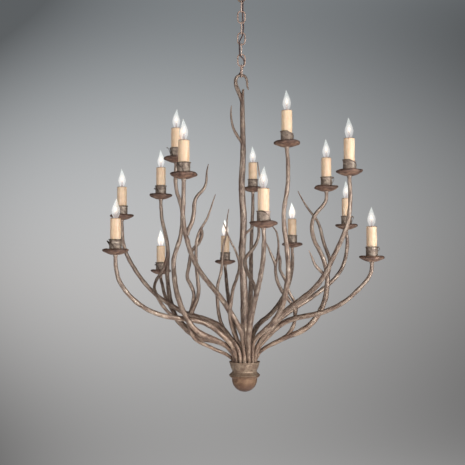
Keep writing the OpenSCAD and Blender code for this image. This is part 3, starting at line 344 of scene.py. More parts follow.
# ---------------------------------------------------------------- materials
def branch_material():
    k = Mat("branch_finish")
    flow, cav = k.attr("flow", "Vector"), k.attr("cav")
    grain = k.noise(k.scale(flow, (1, 1, 0.16)), 520, 5, 0.62, 0.4)
    patch = k.noise(flow, 42, 4, 0.6, 0.6)
    speck = k.noise(flow, 900, 3, 0.6)
    high = k.math("ADD", k.math("MULTIPLY", grain, 0.50), k.math("MULTIPLY", cav, 0.52))
    high = k.math("ADD", high, k.math("ADD", k.math("MULTIPLY", k.math("SUBTRACT", patch, 0.5), 0.34), 0.09))
    base = k.ramp(high, [(0.30, (0.048, 0.024, 0.018)), (0.50, (0.160, 0.106, 0.081)), (0.66, (0.285, 0.217, 0.174)), (0.86, (0.490, 0.415, 0.350))], "LINEAR")
    warm = k.mix(k.ramp(patch, [(0.42, 0.0), (0.66, 1.0)]), base, k.mix(0.3, base, (0.20, 0.115, 0.078)))
    col = k.mix(k.ramp(speck, [(0.60, 0.0), (0.74, 0.5)]), warm, (0.045, 0.027, 0.021))
    low = k.map(k.split(k.coord())[2], -0.98, -1.19, 0.0, 1.0)
    col = k.mix(k.math("MULTIPLY", low, 0.6, True), col, k.mix(1.0, col, (1.13, 0.98, 0.84), "MULTIPLY"))
    col = k.mix(k.ramp(k.noise(flow, 560, 2, 0.5), [(0.62, 0.0), (0.72, 0.7)]), col, (0.54, 0.49, 0.43))
    # edge darkens the branch to a near-black brown: painted contact shade where other branches come close and low down
    # by the cup
    col = k.mix(k.math("MULTIPLY", k.attr("edge"), 0.88), col, (0.060, 0.026, 0.017))
    k.set(Base_Color=col, Metallic=k.map(high, 0.4, 0.85, 0.25, 0.62), Roughness=k.map(k.math("ADD", grain, k.math("MULTIPLY", speck, 0.4)), 0.45, 1.0, 0.36, 0.62))
    k.b.inputs["Specular IOR Level"].default_value = 0.55
    n1 = k.bump(grain, 0.55, 0.0009)
    k.set(Normal=k.bump(k.noise(flow, 260, 4, 0.6), 0.5, 0.0010, n1))
    return k.m


def dish_material():
    k = Mat("dish_rust")
    loc, edge, cav = k.attr("flow", "Vector"), k.attr("edge"), k.attr("cav")
    rust = k.noise(loc, 70, 5, 0.62, 0.5)
    fine = k.noise(loc, 420, 4, 0.6)
    ham = k.voronoi(loc, 130)
    base = k.ramp(k.math("ADD", k.math("MULTIPLY", rust, 0.75), k.math("MULTIPLY", cav, 0.35)), [(0.36, (0.072, 0.034, 0.024)), (0.52, (0.190, 0.100, 0.067)), (0.66, (0.285, 0.172, 0.118)), (0.84, (0.420, 0.300, 0.215))], "LINEAR")
    base = k.mix(k.ramp(fine, [(0.56, 0.0), (0.72, 0.55)]), base, (0.055, 0.026, 0.02))
    col = k.mix(k.math("MULTIPLY", edge, k.ramp(rust, [(0.35, 0.25), (0.6, 1.0)])), base, (0.066, 0.038, 0.030))
    k.set(Base_Color=col, Metallic=k.map(rust, 0.35, 0.7, 0.2, 0.45), Roughness=k.map(fine, 0.3, 0.7, 0.42, 0.68))
    n1 = k.bump(ham, 0.35, 0.0012)
    k.set(Normal=k.bump(fine, 0.45, 0.0006, n1))
    return k.m


def strip_material():
    k = Mat("wrapped_strip")
    loc, edge, cav = k.attr("flow", "Vector"), k.attr("edge"), k.attr("cav")
    brush = k.noise(k.scale(loc, (1, 1, 0.22)), 300, 5, 0.6, 0.3)
    patch = k.noise(loc, 90, 4, 0.6, 0.7)
    fine = k.noise(loc, 700, 3, 0.6)
    base = k.ramp(k.math("ADD", k.math("MULTIPLY", patch, 0.8), k.math("MULTIPLY", brush, 0.28)), [(0.38, (0.078, 0.052, 0.040)), (0.52, (0.188, 0.137, 0.106)), (0.64, (0.292, 0.234, 0.190)), (0.78, (0.470, 0.415, 0.355))], "LINEAR")
    col = k.mix(k.math("MULTIPLY", edge, 0.88), base, (0.045, 0.026, 0.020))
    # high cav turns the strip a light pink: a painted highlight on the front and right side of the cups 1, 2 and 7
    col = k.mix(k.math("MULTIPLY", k.map(cav, 0.55, 1.0, 0.0, 1.0), 0.75), col, (0.60, 0.45, 0.37))
    col = k.mix(k.ramp(fine, [(0.6, 0.0), (0.74, 0.5)]), col, (0.05, 0.036, 0.03))
    k.set(Base_Color=col, Metallic=k.map(patch, 0.35, 0.7, 0.3, 0.55), Roughness=k.map(brush, 0.3, 0.7, 0.38, 0.60))
    n1 = k.bump(brush, 0.35, 0.0006)
    k.set(Normal=k.bump(patch, 0.4, 0.0014, n1))
    return k.m


def sleeve_material():
    k = Mat("beeswax_sleeve")
    loc, cav = k.attr("flow", "Vector"), k.attr("cav")
    streak = k.noise(k.scale(loc, (1, 1, 0.07)), 190, 4, 0.55, 0.25)
    cloud = k.noise(loc, 60, 4, 0.6, 0.4)
    fine = k.noise(loc, 600, 3, 0.55)
    base = k.ramp(k.math("ADD", k.math("MULTIPLY", streak, 0.6), k.math("MULTIPLY", cloud, 0.4)), [(0.32, (0.510, 0.318, 0.190)), (0.50, (0.625, 0.430, 0.280)), (0.68, (0.735, 0.560, 0.405))], "LINEAR")
    col = k.mix(k.math("MULTIPLY", cav, 0.55), base, (0.780, 0.610, 0.450))
    # edge mixes in dark brown: on the top lip, and faintly on the sleeves at the back as painted shade
    col = k.mix(k.math("MULTIPLY", k.attr("edge"), 0.8), col, (0.20, 0.085, 0.045))
    k.set(Base_Color=col, Roughness=k.map(cloud, 0.3, 0.7, 0.38, 0.56))
    k.b.inputs["Coat Weight"].default_value = 0.2
    k.b.inputs["Coat Roughness"].default_value = 0.35
    k.b.inputs["Subsurface Weight"].default_value = 0.12
    k.b.inputs["Subsurface Radius"].default_value = (0.006, 0.003, 0.0015)
    k.b.inputs["Specular IOR Level"].default_value = 0.4
    n1 = k.bump(streak, 0.25, 0.0007)
    k.set(Normal=k.bump(fine, 0.2, 0.0003, n1))
    return k.m


def antique_material(name, tint, deep_tint, light_tint, low=None, lowz=(0, 1)):
    """Mottled antique finish. Towards lowz[1] in height it turns to the colour low, a painted shade on the underside.
    """
    k = Mat(name)
    loc = k.coord()
    patch = k.noise(loc, 55, 5, 0.62, 0.8)
    fine = k.noise(loc, 380, 4, 0.6)
    pits = k.voronoi(loc, 150)
    base = k.ramp(k.math("ADD", k.math("MULTIPLY", patch, 0.8), k.math("MULTIPLY", fine, 0.25)), [(0.34, deep_tint), (0.54, tint), (0.74, light_tint)], "LINEAR")
    if low is not None:
        z = k.split(loc)[2]
        # painted shade: the colour low darkens the lower part of the piece
        base = k.mix(k.math("MULTIPLY", k.map(z, lowz[0], lowz[1], 0.0, 1.0), k.ramp(patch, [(0.3, 0.95), (0.7, 0.6)])), base, low)
    col = k.mix(k.ramp(pits, [(0.03, 0.8), (0.10, 0.0)]), base, (0.045, 0.024, 0.018))
    k.set(Base_Color=col, Metallic=k.map(patch, 0.35, 0.7, 0.25, 0.55), Roughness=k.map(fine, 0.3, 0.7, 0.36, 0.6))
    n1 = k.bump(patch, 0.4, 0.0025)
    k.set(Normal=k.bump(fine, 0.35, 0.0007, n1))
    return k.m


def chain_material():
    k = Mat("chain_bronze")
    flow, cav = k.attr("flow", "Vector"), k.attr("cav")
    patch = k.noise(flow, 60, 3, 0.5, 0.3)
    fine = k.noise(flow, 900, 3, 0.6)
    # cav is lower on the inner side of each link, so the inside of the loop takes painted shade
    h = k.math("ADD", k.math("MULTIPLY", patch, 0.6), k.math("MULTIPLY", cav, 0.4))
    base = k.ramp(h, [(0.30, (0.170, 0.088, 0.064)), (0.50, (0.330, 0.215, 0.168)), (0.70, (0.500, 0.375, 0.312))], "LINEAR")
    k.set(Base_Color=base, Metallic=k.map(h, 0.4, 0.7, 0.12, 0.22), Roughness=k.map(fine, 0.3, 0.7, 0.50, 0.62))
    k.set(Normal=k.bump(patch, 0.15, 0.0006))
    return k.m


def cord_material():
    k = Mat("brown_cord")
    flow = k.attr("flow", "Vector")
    braid, fine = k.attr("cav"), k.noise(flow, 1400, 3, 0.6)
    col = k.mix(k.math("MULTIPLY", braid, 0.9), (0.020, 0.006, 0.005), (0.085, 0.030, 0.023))
    col = k.mix(k.ramp(fine, [(0.5, 0.0), (0.7, 0.5)]), col, (0.110, 0.050, 0.038))
    k.set(Base_Color=col, Roughness=k.map(fine, 0.3, 0.7, 0.62, 0.85))
    k.b.inputs["Sheen Weight"].default_value = 0.25
    k.set(Normal=k.bump(k.math("ADD", k.math("MULTIPLY", braid, 0.7), k.math("MULTIPLY", fine, 0.3)), 0.5, 0.0006))
    return k.m


def plain_metal(name, dark, light, rough=(0.28, 0.45), metallic=1.0, scale=160, turned=False):
    """Plated or turned metal: blotches, fine scratches and, if turned, tool rings."""
    k = Mat(name)
    loc = k.coord()
    patch = k.noise(loc, scale, 4, 0.6, 0.4)
    scratch = k.noise(k.scale(loc, (1, 9, 2)), scale * 5, 4, 0.6)
    base = k.ramp(k.math("ADD", k.math("MULTIPLY", patch, 0.75), k.math("MULTIPLY", scratch, 0.25)), [(0.36, dark), (0.66, light)], "LINEAR")
    k.set(Base_Color=base, Roughness=k.map(scratch, 0.3, 0.7, rough[0], rough[1]))
    k.b.inputs["Metallic"].default_value = metallic
    if turned:
        n1 = k.bump(k.wave(loc, 700, 0.3), 0.35, 0.0004)
        k.set(Normal=k.bump(scratch, 0.15, 0.0002, n1))
    else:
        k.set(Normal=k.bump(scratch, 0.2, 0.0003))
    return k.m


def plastic(name, dark, light, rough=(0.3, 0.5)):
    k = Mat(name)
    loc = k.coord()
    patch = k.noise(loc, 90, 4, 0.6, 0.3)
    fine = k.noise(loc, 900, 3, 0.6)
    k.set(Base_Color=k.ramp(patch, [(0.35, dark), (0.65, light)], "LINEAR"), Roughness=k.map(fine, 0.3, 0.7, rough[0], rough[1]))
    k.b.inputs["Specular IOR Level"].default_value = 0.45
    k.set(Normal=k.bump(fine, 0.15, 0.0003))
    return k.m


def glass_material(name, bright, tint):
    """Thin bulb glass that carries a haze of the filament's light, pinkish low down."""
    k = Mat(name)
    loc = k.coord()
    z = k.split(loc)[2]
    h = k.map(z, 0.0, 0.060, 0.0, 1.0)
    swirl = k.noise(k.scale(loc, (1, 1, 0.4)), 110, 3, 0.5)
    glow = k.ramp(h, [(0.0, 0.066), (0.16, 0.080), (0.40, 0.094), (0.62, 0.094), (0.80, 0.105), (1.0, 0.130)], "EASE")
    k.set(Base_Color=k.ramp(h, [(0.0, (0.97, 0.95, 0.95)), (0.3, (0.985, 0.985, 0.985))]), Roughness=k.map(swirl, 0.3, 0.7, 0.16, 0.24), Emission_Color=k.ramp(h, [(0.0, (0.93, 0.89, 0.84)), (0.35, tint), (1.0, (0.88, 0.95, 0.89))]), Emission_Strength=k.math("MULTIPLY", glow, k.map(swirl, 0.3, 0.7, 0.9 * bright, 1.1 * bright)))
    k.b.inputs["Transmission Weight"].default_value = 1.0
    k.b.inputs["IOR"].default_value = 1.12
    k.set(Normal=k.bump(swirl, 0.05, 0.0006))
    return k.m


def halo_material():
    """The glare round the lit filament: a faint veil, seen through."""
    k = Mat("filament_halo")
    loc = k.coord()
    h = k.map(k.split(loc)[2], 0.010, 0.046, 0.0, 1.0)
    veil = k.noise(loc, 300, 2, 0.5)
    k.set(Base_Color=(0.9, 0.88, 0.85), Roughness=0.9, Emission_Color=k.ramp(h, [(0.0, (1.0, 0.76, 0.62)), (0.45, (1.0, 0.85, 0.72)), (1.0, (0.97, 0.95, 0.90))]), Emission_Strength=k.map(veil, 0.3, 0.7, 1.05, 1.25))
    k.b.inputs["Alpha"].default_value = 0.065
    k.b.inputs["Specular IOR Level"].default_value = 0.0
    k.m.cycles.emission_sampling = "NONE"
    return k.m


def stem_glass_material():
    k = Mat("bulb_stem_glass")
    loc = k.coord()
    cloud = k.noise(loc, 320, 3, 0.5)
    # the glass mount is given a faint glow of its own: painted light from the filament
    k.set(Base_Color=k.ramp(cloud, [(0.3, (0.46, 0.40, 0.41)), (0.7, (0.70, 0.64, 0.64))]), Roughness=k.map(cloud, 0.3, 0.7, 0.12, 0.3), Emission_Color=(0.8, 0.66, 0.64), Emission_Strength=k.map(cloud, 0.3, 0.7, 0.10, 0.2))
    k.b.inputs["Transmission Weight"].default_value = 0.4
    k.b.inputs["IOR"].default_value = 1.45
    return k.m


def glow_material():
    """The lit filament coil: white-hot, a little warmer towards its ends."""
    k = Mat("filament_glow")
    loc = k.coord()
    z = k.split(loc)[2]
    h = k.map(z, 0.018, 0.036, 0.0, 1.0)
    flick = k.noise(loc, 900, 2, 0.5)
    k.set(Base_Color=(0.9, 0.8, 0.65), Roughness=0.6, Emission_Color=k.ramp(h, [(0.0, (1.0, 0.74, 0.52)), (0.45, (1.0, 0.90, 0.76)), (1.0, (1.0, 0.82, 0.64))]), Emission_Strength=k.math("MULTIPLY", k.math("MULTIPLY", k.ramp(h, [(0.0, 0.25), (0.4, 1.0), (0.7, 0.7), (1.0, 0.25)]), 1.05), k.map(flick, 0.3, 0.7, 0.85, 1.15)))
    k.m.cycles.emission_sampling = "NONE"
    return k.m


BRANCH = branch_material()
DISHM = dish_material()
STRIP = strip_material()
SLEEVE = sleeve_material()
CUPM = antique_material("cup_finish", (0.225, 0.155, 0.108), (0.105, 0.058, 0.039), (0.410, 0.325, 0.245))
# the finial bowl darkens towards its bottom: painted shade under the bowl
BOWLM = antique_material("finial_finish", (0.180, 0.098, 0.056), (0.090, 0.042, 0.025), (0.330, 0.215, 0.135), (0.062, 0.024, 0.016), ((BOWL_TOP - 18) * MM, (BOWL_TOP - 50) * MM))
AGED = antique_material("aged_bronze", (0.185, 0.125, 0.088), (0.075, 0.042, 0.030), (0.330, 0.245, 0.175))
CHAIN = chain_material()
CORD = cord_material()
ZINC = plain_metal("zinc_steel", (0.42, 0.42, 0.41), (0.66, 0.66, 0.64), (0.3, 0.48))
BRASS = plain_metal("brass", (0.42, 0.30, 0.12), (0.72, 0.56, 0.27), (0.22, 0.4), 1.0, 220, True)
GREEN = plain_metal("green_screw", (0.03, 0.16, 0.06), (0.08, 0.34, 0.13), (0.3, 0.45), 0.6, 300)
SOCKET = plastic("socket_plastic", (0.60, 0.57, 0.49), (0.78, 0.75, 0.67))
NUT = plastic("wire_nut", (0.55, 0.17, 0.03), (0.78, 0.30, 0.07))
GLASS = glass_material("bulb_glass", 1.0, (1.0, 0.97, 0.93))
WARM_GLASS = glass_material("bulb_glass_warm", 1.9, (1.0, 0.84, 0.70))
STEMGLASS = stem_glass_material()
GLOW = glow_material()
HALO = halo_material()
BLACKG = plastic("bulb_insulator", (0.012, 0.012, 0.014), (0.035, 0.033, 0.036), (0.15, 0.3))
SOLDER = plain_metal("bulb_solder", (0.40, 0.40, 0.40), (0.70, 0.70, 0.69), (0.3, 0.5), 1.0, 500)


# ---------------------------------------------------------------- mesh builder
class Build:
    """Gathers grids of points, in mm, into one mesh with the attributes cav, edge and flow."""

    def __init__(self):
        self.v, self.f, self.mi, self.cav, self.edge, self.flow = [], [], [], [], [], []

    def points(self, P, cav, edge, flow):
        start = len(self.v)
        self.v.extend(P.reshape(-1, 3).tolist())
        self.cav.extend(np.broadcast_to(cav, P.shape[:-1]).ravel().tolist())
        self.edge.extend(np.broadcast_to(edge, P.shape[:-1]).ravel().tolist())
        self.flow.extend((P if flow is None else flow).reshape(-1, 3).tolist())
        return start

    def grid(self, P, cav=0.5, edge=0.0, flow=None, wrap_i=False, wrap_j=True, mat=0, caps=True):
        n, m = P.shape[:2]
        s = self.points(P, cav, edge, flow)
        for i in range(n if wrap_i else n - 1):
            for j in range(m if wrap_j else m - 1):
                a, b, c, d = s + i * m + j, s + i * m + (j + 1) % m, s + ((i + 1) % n) * m + (j + 1) % m, s + ((i + 1) % n) * m + j
                self.f.append((a, b, c, d))
                self.mi.append(mat)
        if caps and wrap_j and not wrap_i:
            for ring in (range(m), range(m - 1, -1, -1)):
                base = s if ring.step > 0 else s + (n - 1) * m
                self.f.append(tuple(base + j for j in ring))
                self.mi.append(mat)

    def sheet(self, A, B, cav=0.5, edge=0.0, flow=None, mat=0):
        """A closed sheet between the two grids A and B."""
        n, m = A.shape[:2]
        a0 = self.points(A, cav, edge, flow)
        b0 = self.points(B, cav, edge, flow)
        for i in range(n - 1):
            for j in range(m - 1):
                q = (i * m + j, i * m + j + 1, (i + 1) * m + j + 1, (i + 1) * m + j)
                self.f.append(tuple(a0 + x for x in q))
                self.f.append(tuple(b0 + x for x in reversed(q)))
                self.mi += [mat, mat]
        rim = [i for i in range(m)] + [i * m + m - 1 for i in range(1, n)] + [(n - 1) * m + j for j in range(m - 2, -1, -1)] + [i * m for i in range(n - 2, 0, -1)]
        for x, y in zip(rim, rim[1:] + rim[:1]):
            self.f.append((a0 + x, a0 + y, b0 + y, b0 + x))
            self.mi.append(mat)

    def make(self, name, mats, body, slot=None, replaces=(), origin=(0, 0, 0), sharp=None):
        o = Vector(origin) * MM
        me = bpy.data.meshes.new(name)
        me.from_pydata([(x * MM - o.x, y * MM - o.y, z * MM - o.z) for x, y, z in self.v], [], self.f)
        for key, values in (("cav", self.cav), ("edge", self.edge)):
            me.attributes.new(key, "FLOAT", "POINT").data.foreach_set("value", np.clip(np.array(values, np.float32), 0, 1))
        me.attributes.new("flow", "FLOAT_VECTOR", "POINT").data.foreach_set("vector", (np.array(self.flow, np.float32) * MM).ravel())
        me.polygons.foreach_set("material_index", self.mi)
        me.polygons.foreach_set("use_smooth", [True] * len(self.f))
        for m in mats:
            me.materials.append(m)
        bm = bmesh.new()
        bm.from_mesh(me)
        bmesh.ops.remove_doubles(bm, verts=bm.verts, dist=2e-6)
        bmesh.ops.dissolve_degenerate(bm, edges=bm.edges, dist=1e-7)
        bmesh.ops.recalc_face_normals(bm, faces=bm.faces)
        if sharp is not None:
            for e in bm.edges:
                if len(e.link_faces) == 2 and e.calc_face_angle(0) > math.radians(sharp):
                    e.smooth = False
        bm.to_mesh(me)
        bm.free()
        me.update()
        ob = bpy.data.objects.new(name, me)
        ob.location = o
        bpy.context.scene.collection.objects.link(ob)
        if body is not None:
            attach(ob, body)
        if replaces:
            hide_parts(*replaces)
        return ob


def curve_through(pts, spacing):
    """Smooth line through pts, sampled evenly: (points, position of each sample counted in pts)."""
    P = np.array(pts, float)
    d = np.maximum(np.linalg.norm(np.diff(P, axis=0), axis=1), 1e-6)
    n = len(P)
    T = np.zeros_like(P)
    for i in range(1, n - 1):
        T[i] = ((P[i + 1] - P[i]) / d[i] * d[i - 1] + (P[i] - P[i - 1]) / d[i - 1] * d[i]) / (d[i] + d[i - 1])
    T[0], T[-1] = (P[1] - P[0]) / d[0], (P[-1] - P[-2]) / d[-1]
    out, u = [], []
    for i in range(n - 1):
        for t in np.linspace(0, 1, 10, endpoint=False):
            a, b, c, e = 2 * t**3 - 3 * t**2 + 1, t**3 - 2 * t**2 + t, -2 * t**3 + 3 * t**2, t**3 - t**2
            out.append(a * P[i] + b * d[i] * T[i] + c * P[i + 1] + e * d[i] * T[i + 1])
            u.append(i + t)
    out.append(P[-1]); u.append(n - 1)
    out, u = np.array(out), np.array(u)
    s = np.concatenate([[0], np.cumsum(np.linalg.norm(np.diff(out, axis=0), axis=1))])
    m = max(3, int(round(s[-1] / spacing)) + 1)
    want = np.linspace(0, s[-1], m)
    return np.stack([np.interp(want, s, out[:, k]) for k in range(3)], 1), np.interp(want, s, u)


def frames(C):
    """Tangent and two cross directions along C that don't twist."""
    T = np.gradient(C, axis=0)
    T /= np.linalg.norm(T, axis=1)[:, None]
    N = np.zeros_like(C)
    v = np.array([0.31, -0.95, 0.02])
    for i in range(len(C)):
        v = v - (v @ T[i]) * T[i]
        v = v / np.linalg.norm(v)
        N[i] = v
    return T, N, np.cross(T, N)


def limb(B, pts, radii, sides=14, spacing=3.6, seed=1, knob=1.0, ridge=1.0, flare=0.0, tip=False, mat=0):
    """A branch: knobbly, with bark ridges along it and swellings where buds sat. flare widens its foot by that share."""
    rnd = random.Random(seed)
    C, u = curve_through(pts, spacing)
    R = np.interp(u, np.arange(len(pts)), radii)
    s = np.concatenate([[0], np.cumsum(np.linalg.norm(np.diff(C, axis=0), axis=1))])
    L = s[-1]
    T, N, Q = frames(C)
    buds = []
    x = rnd.uniform(18, 60)
    while x < L - 12:
        buds.append((x, rnd.uniform(0.06, 0.17), rnd.uniform(0, 2 * math.pi), rnd.uniform(5, 9)))
        x += rnd.uniform(34, 78)
    for i in range(len(C)):
        w = min(1.0, s[i] / 30, (L - s[i]) / 30)
        a, b = nz(s[i] / 26, seed * 7.1, 0.3), nz(s[i] / 26, seed * 3.7, 9.2)
        C[i] = C[i] + (N[i] * a + Q[i] * b) * 1.1 * w * knob
    ang = 2 * np.pi * np.arange(sides) / sides
    P = np.zeros((len(C), sides, 3))
    cav = np.zeros((len(C), sides))
    flow = np.zeros((len(C), sides, 3))
    for i in range(len(C)):
        r0 = R[i]
        swell = 0.0
        for c, amp, phi, wide in buds:
            d = (s[i] - c) / (wide * (1.5 if s[i] < c else 0.8))
            if abs(d) < 3:
                swell += amp * math.exp(-d * d)
        swell += 0.05 * nz(s[i] / 17, seed * 1.3, 4.4)
        swell += flare * math.exp(-s[i] / 9.0)
        for j in range(sides):
            ca, sa = math.cos(ang[j]), math.sin(ang[j])
            one = 0.0
            for c, amp, phi, wide in buds:
                d = (s[i] - c) / wide
                if abs(d) < 2.5:
                    one += amp * math.exp(-d * d * 1.4) * max(0.0, math.cos(ang[j] - phi)) ** 2
            bark = nz(ca * 1.9 + seed, sa * 1.9, s[i] / 34)
            fine = nz(ca * 3.6, sa * 3.6 + seed, s[i] / 9)
            r = r0 * (1 + knob * (swell + one)) * (1 + ridge * (0.085 * bark + 0.05 * fine))
            P[i, j] = C[i] + r * (ca * N[i] + sa * Q[i])
            cav[i, j] = 0.42 + 0.55 * bark + 0.38 * fine + 1.1 * (swell + one) * knob
            flow[i, j] = (r0 * ca, r0 * sa, s[i] + 977 * (seed % 13))
    if tip:
        end = C[-1] + T[-1] * R[-1] * 0.9
        for f, back in ((0.75, 0.45), (0.35, 0.8), (0.0, 0.95)):
            ring = (P[-1] if len(P) == len(C) else last) if f == 0.75 else last
            if f == 0.75:
                last = P[len(C) - 1]
            new = C[-1] + (last - C[-1]) * f + T[-1] * R[-1] * back
            P = np.concatenate([P, new[None]])
            cav = np.concatenate([cav, cav[-1:]])
            flow = np.concatenate([flow, flow[-1:]])
        B.grid(P, cav, contact_shade(P, seed), flow, mat=mat, caps=False)
        m = sides
        base = len(B.v) - len(P) * m
        B.f.append(tuple(base + j for j in range(m)))
        B.mi.append(mat)
    else:
        B.grid(P, cav, contact_shade(P, seed), flow, mat=mat)


def twig_r(n, r0, r1):
    return [r0 + (r1 - r0) * (i / (n - 1)) ** 2.4 for i in range(n)]


def lathe(B, prof, sides, c, disp=None, mat=0, closed=True, cav=0.5, edge=None, phase=0.0):
    """Turns the outline prof, (radius, height) pairs, round the point c. disp(r, z, angle) gives (dr, dz)."""
    n = len(prof)
    P = np.zeros((n, sides, 3))
    E = np.zeros((n, sides))
    V = np.zeros((n, sides))
    for i, (r, z) in enumerate(prof):
        for j in range(sides):
            a = 2 * math.pi * j / sides + phase
            dr, dz, dc = disp(r, z, a) if disp else (0, 0, 0)
            rr = max(0.0, r + dr) if r > 1e-9 else 0.0
            P[i, j] = (c[0] + rr * math.cos(a), c[1] + rr * math.sin(a), c[2] + z + dz)
            V[i, j] = cav + dc
            E[i, j] = edge(r, z) if edge else 0.0
    flow = P - np.array(c) + np.array([(c[0] * 0.37) % 300, (c[1] * 0.61) % 300, 0])
    B.grid(P, V, E, flow, wrap_i=closed, wrap_j=True, mat=mat, caps=not closed)


def dense(prof, step, closed=True):
    """The outline with more points on its long sides."""
    out = []
    n = len(prof)
    for i in range(n if closed else n - 1):
        a, b = np.array(prof[i], float), np.array(prof[(i + 1) % n], float)
        k = max(1, int(math.ceil(np.linalg.norm(b - a) / step)))
        out += [tuple(a + (b - a) * t / k) for t in range(k)]
    if not closed:
        out.append(tuple(prof[-1]))
    return out


# ---------------------------------------------------------------- branches
def arm_r(u):
    return float(np.interp(u, (0, 0.14, 0.24, 0.42, 0.62, 0.82, 1), (6.0, 6.3, 8.6, 8.3, 6.9, 6.1, 5.4)))


FORKS = {
    2: [(FORK_F, 4.8, 1.2, True)],
    3: [(FORK_M, 6.0, 1.6, True), (FORK_L, 4.6, 5.0, False), (FORK_N, 4.6, 1.3, True), (FORK_E, 5.8, 1.5, True)],
    7: [(FORK_K, 5.8, 1.3, True)],
    10: [(FORK_A, 6.2, 1.3, True)],
    12: [(FORK_P, 5.0, 5.2, False)],
    13: [(FORK_B, 6.2, 1.3, True), (FORK_C, 5.4, 5.8, False)],
}


def neck(B, s, seed):
    prof = dense([(0, -20.6), (5.2, -20.6), (6.4, -18.6), (6.9, -16.4), (6.7, -14.6), (7.4, -13.2), (9.0, -12.0), (10.4, -11.1), (10.0, -10.8), (0, -10.8)], 1.2)

    def disp(r, z, a):
        b = nz(math.cos(a) * 1.7 + seed, math.sin(a) * 1.7, z / 3)
        return (0.25 * b, 0, 0.35 * b)
    lathe(B, prof, 28, s, disp, cav=0.5)


LIMBS = {}
for i in CANDLES:
    s = seat(i)
    r = root(SLOT[i - 1])
    pts = [r, r + UP9] + reach(ROUTE[i - 1]) + [s - np.array([0, 0, 24.0]), s - np.array([0, 0, 15.0])]
    rows = [(pts, [arm_r(k / (len(pts) - 1)) for k in range(len(pts))], 16, 3.6, 11 * i + 3, 0.62, 1.0)]
    for k, (q, r0, r1, tip) in enumerate(FORKS.get(i, [])):
        rows.append((reach(q), twig_r(len(q), r0, r1), 12, 3.0, 100 + 10 * i + k, 0.65, 1.0, 0.35, tip))
    if i == 11:
        pts = reach(FORK_G) + [root(0) + UP9, root(0)]
        rows.append((pts, [5.4] * len(pts), 14, 3.4, 171, 0.65, 1.0, 0.2))
    LIMBS[f"branch_arm_{i:02d}"] = (f"arm_{i:02d}", rows)
rows = []
for q, a, r0, seed in ((TWIG_C, 216, 6.0, 301), (TWIG_D, 254, 5.8, 317)):
    c0 = np.array([CUP_X + IN_RING_R * math.cos(math.radians(a)), IN_RING_R * math.sin(math.radians(a)), PLATE_Z])
    pts = [c0, c0 + UP9] + lift(q)
    rows.append((pts, twig_r(len(pts), r0, 1.3), 12, 3.0, seed, 0.65, 1.0, 0.0, True))
LIMBS["bare_twigs"] = ("cup_twigs", rows)
s0 = np.array([CUP_X, 0.0, PLATE_Z])
LIMBS["stem_with_hook"] = ("hooked_stem", [([s0, s0 + np.array([0, 0, 14.0])] + lift(STEM_PATH), STEM_RADII, 22, 3.8, 401, 0.4, 0.8, 0.0, True),
                                           (lift(HOOK_PATH), HOOK_RADII, 16, 2.2, 409, 0.25, 0.45, 0.0, True),
                                           (lift(STUB_PATH), twig_r(len(STUB_PATH), 4.8, 1.3), 12, 2.8, 419, 0.6, 1.0, 0.5, True),
                                           (lift(SPUR_PATH), twig_r(len(SPUR_PATH), 4.2, 1.8), 12, 2.4, 421, 0.6, 1.0, 0.6, True)])
CORE, CORE_R, CORE_ID = [], [], []
for node, rows in LIMBS.values():
    for row in rows:
        C, u = curve_through(row[0], 5.0)
        CORE.append(C)
        CORE_R.append(np.interp(u, np.arange(len(row[0])), row[1]))
        CORE_ID.append(np.full(len(C), row[4]))
CORE, CORE_R, CORE_ID = np.concatenate(CORE), np.concatenate(CORE_R), np.concatenate(CORE_ID)


def contact_shade(P, own):
    """Painted contact shade for each point, 0 to 1: how hemmed in it is by the other branches, and how low it sits by
    the cup.
    """
    keep = CORE_ID != own
    Q = P.reshape(-1, 3)
    out = np.zeros(len(Q))
    for a in range(0, len(Q), 800):
        gap = np.linalg.norm(Q[a:a + 800, None] - CORE[None, keep], axis=2) - CORE_R[None, keep]
        out[a:a + 800] = np.clip(1 - gap.min(1) / 9.0, 0, 1) ** 1.3
    # painted shade also deepens on the branches low down by the cup
    low = np.clip((RIM_Z + 12 - Q[:, 2]) / 20, 0, 1)
    return np.clip(0.85 * out + 0.12 * low, 0, 1).reshape(P.shape[:-1])


for name, (node, rows) in LIMBS.items():
    B = Build()
    for k, row in enumerate(rows):
        limb(B, *row)
        if k == 0 and node.startswith("arm_"):
            neck(B, seat(int(node[4:])), int(node[4:]))
    B.make(name, [BRANCH], "fixture", "branch_finish", [node])

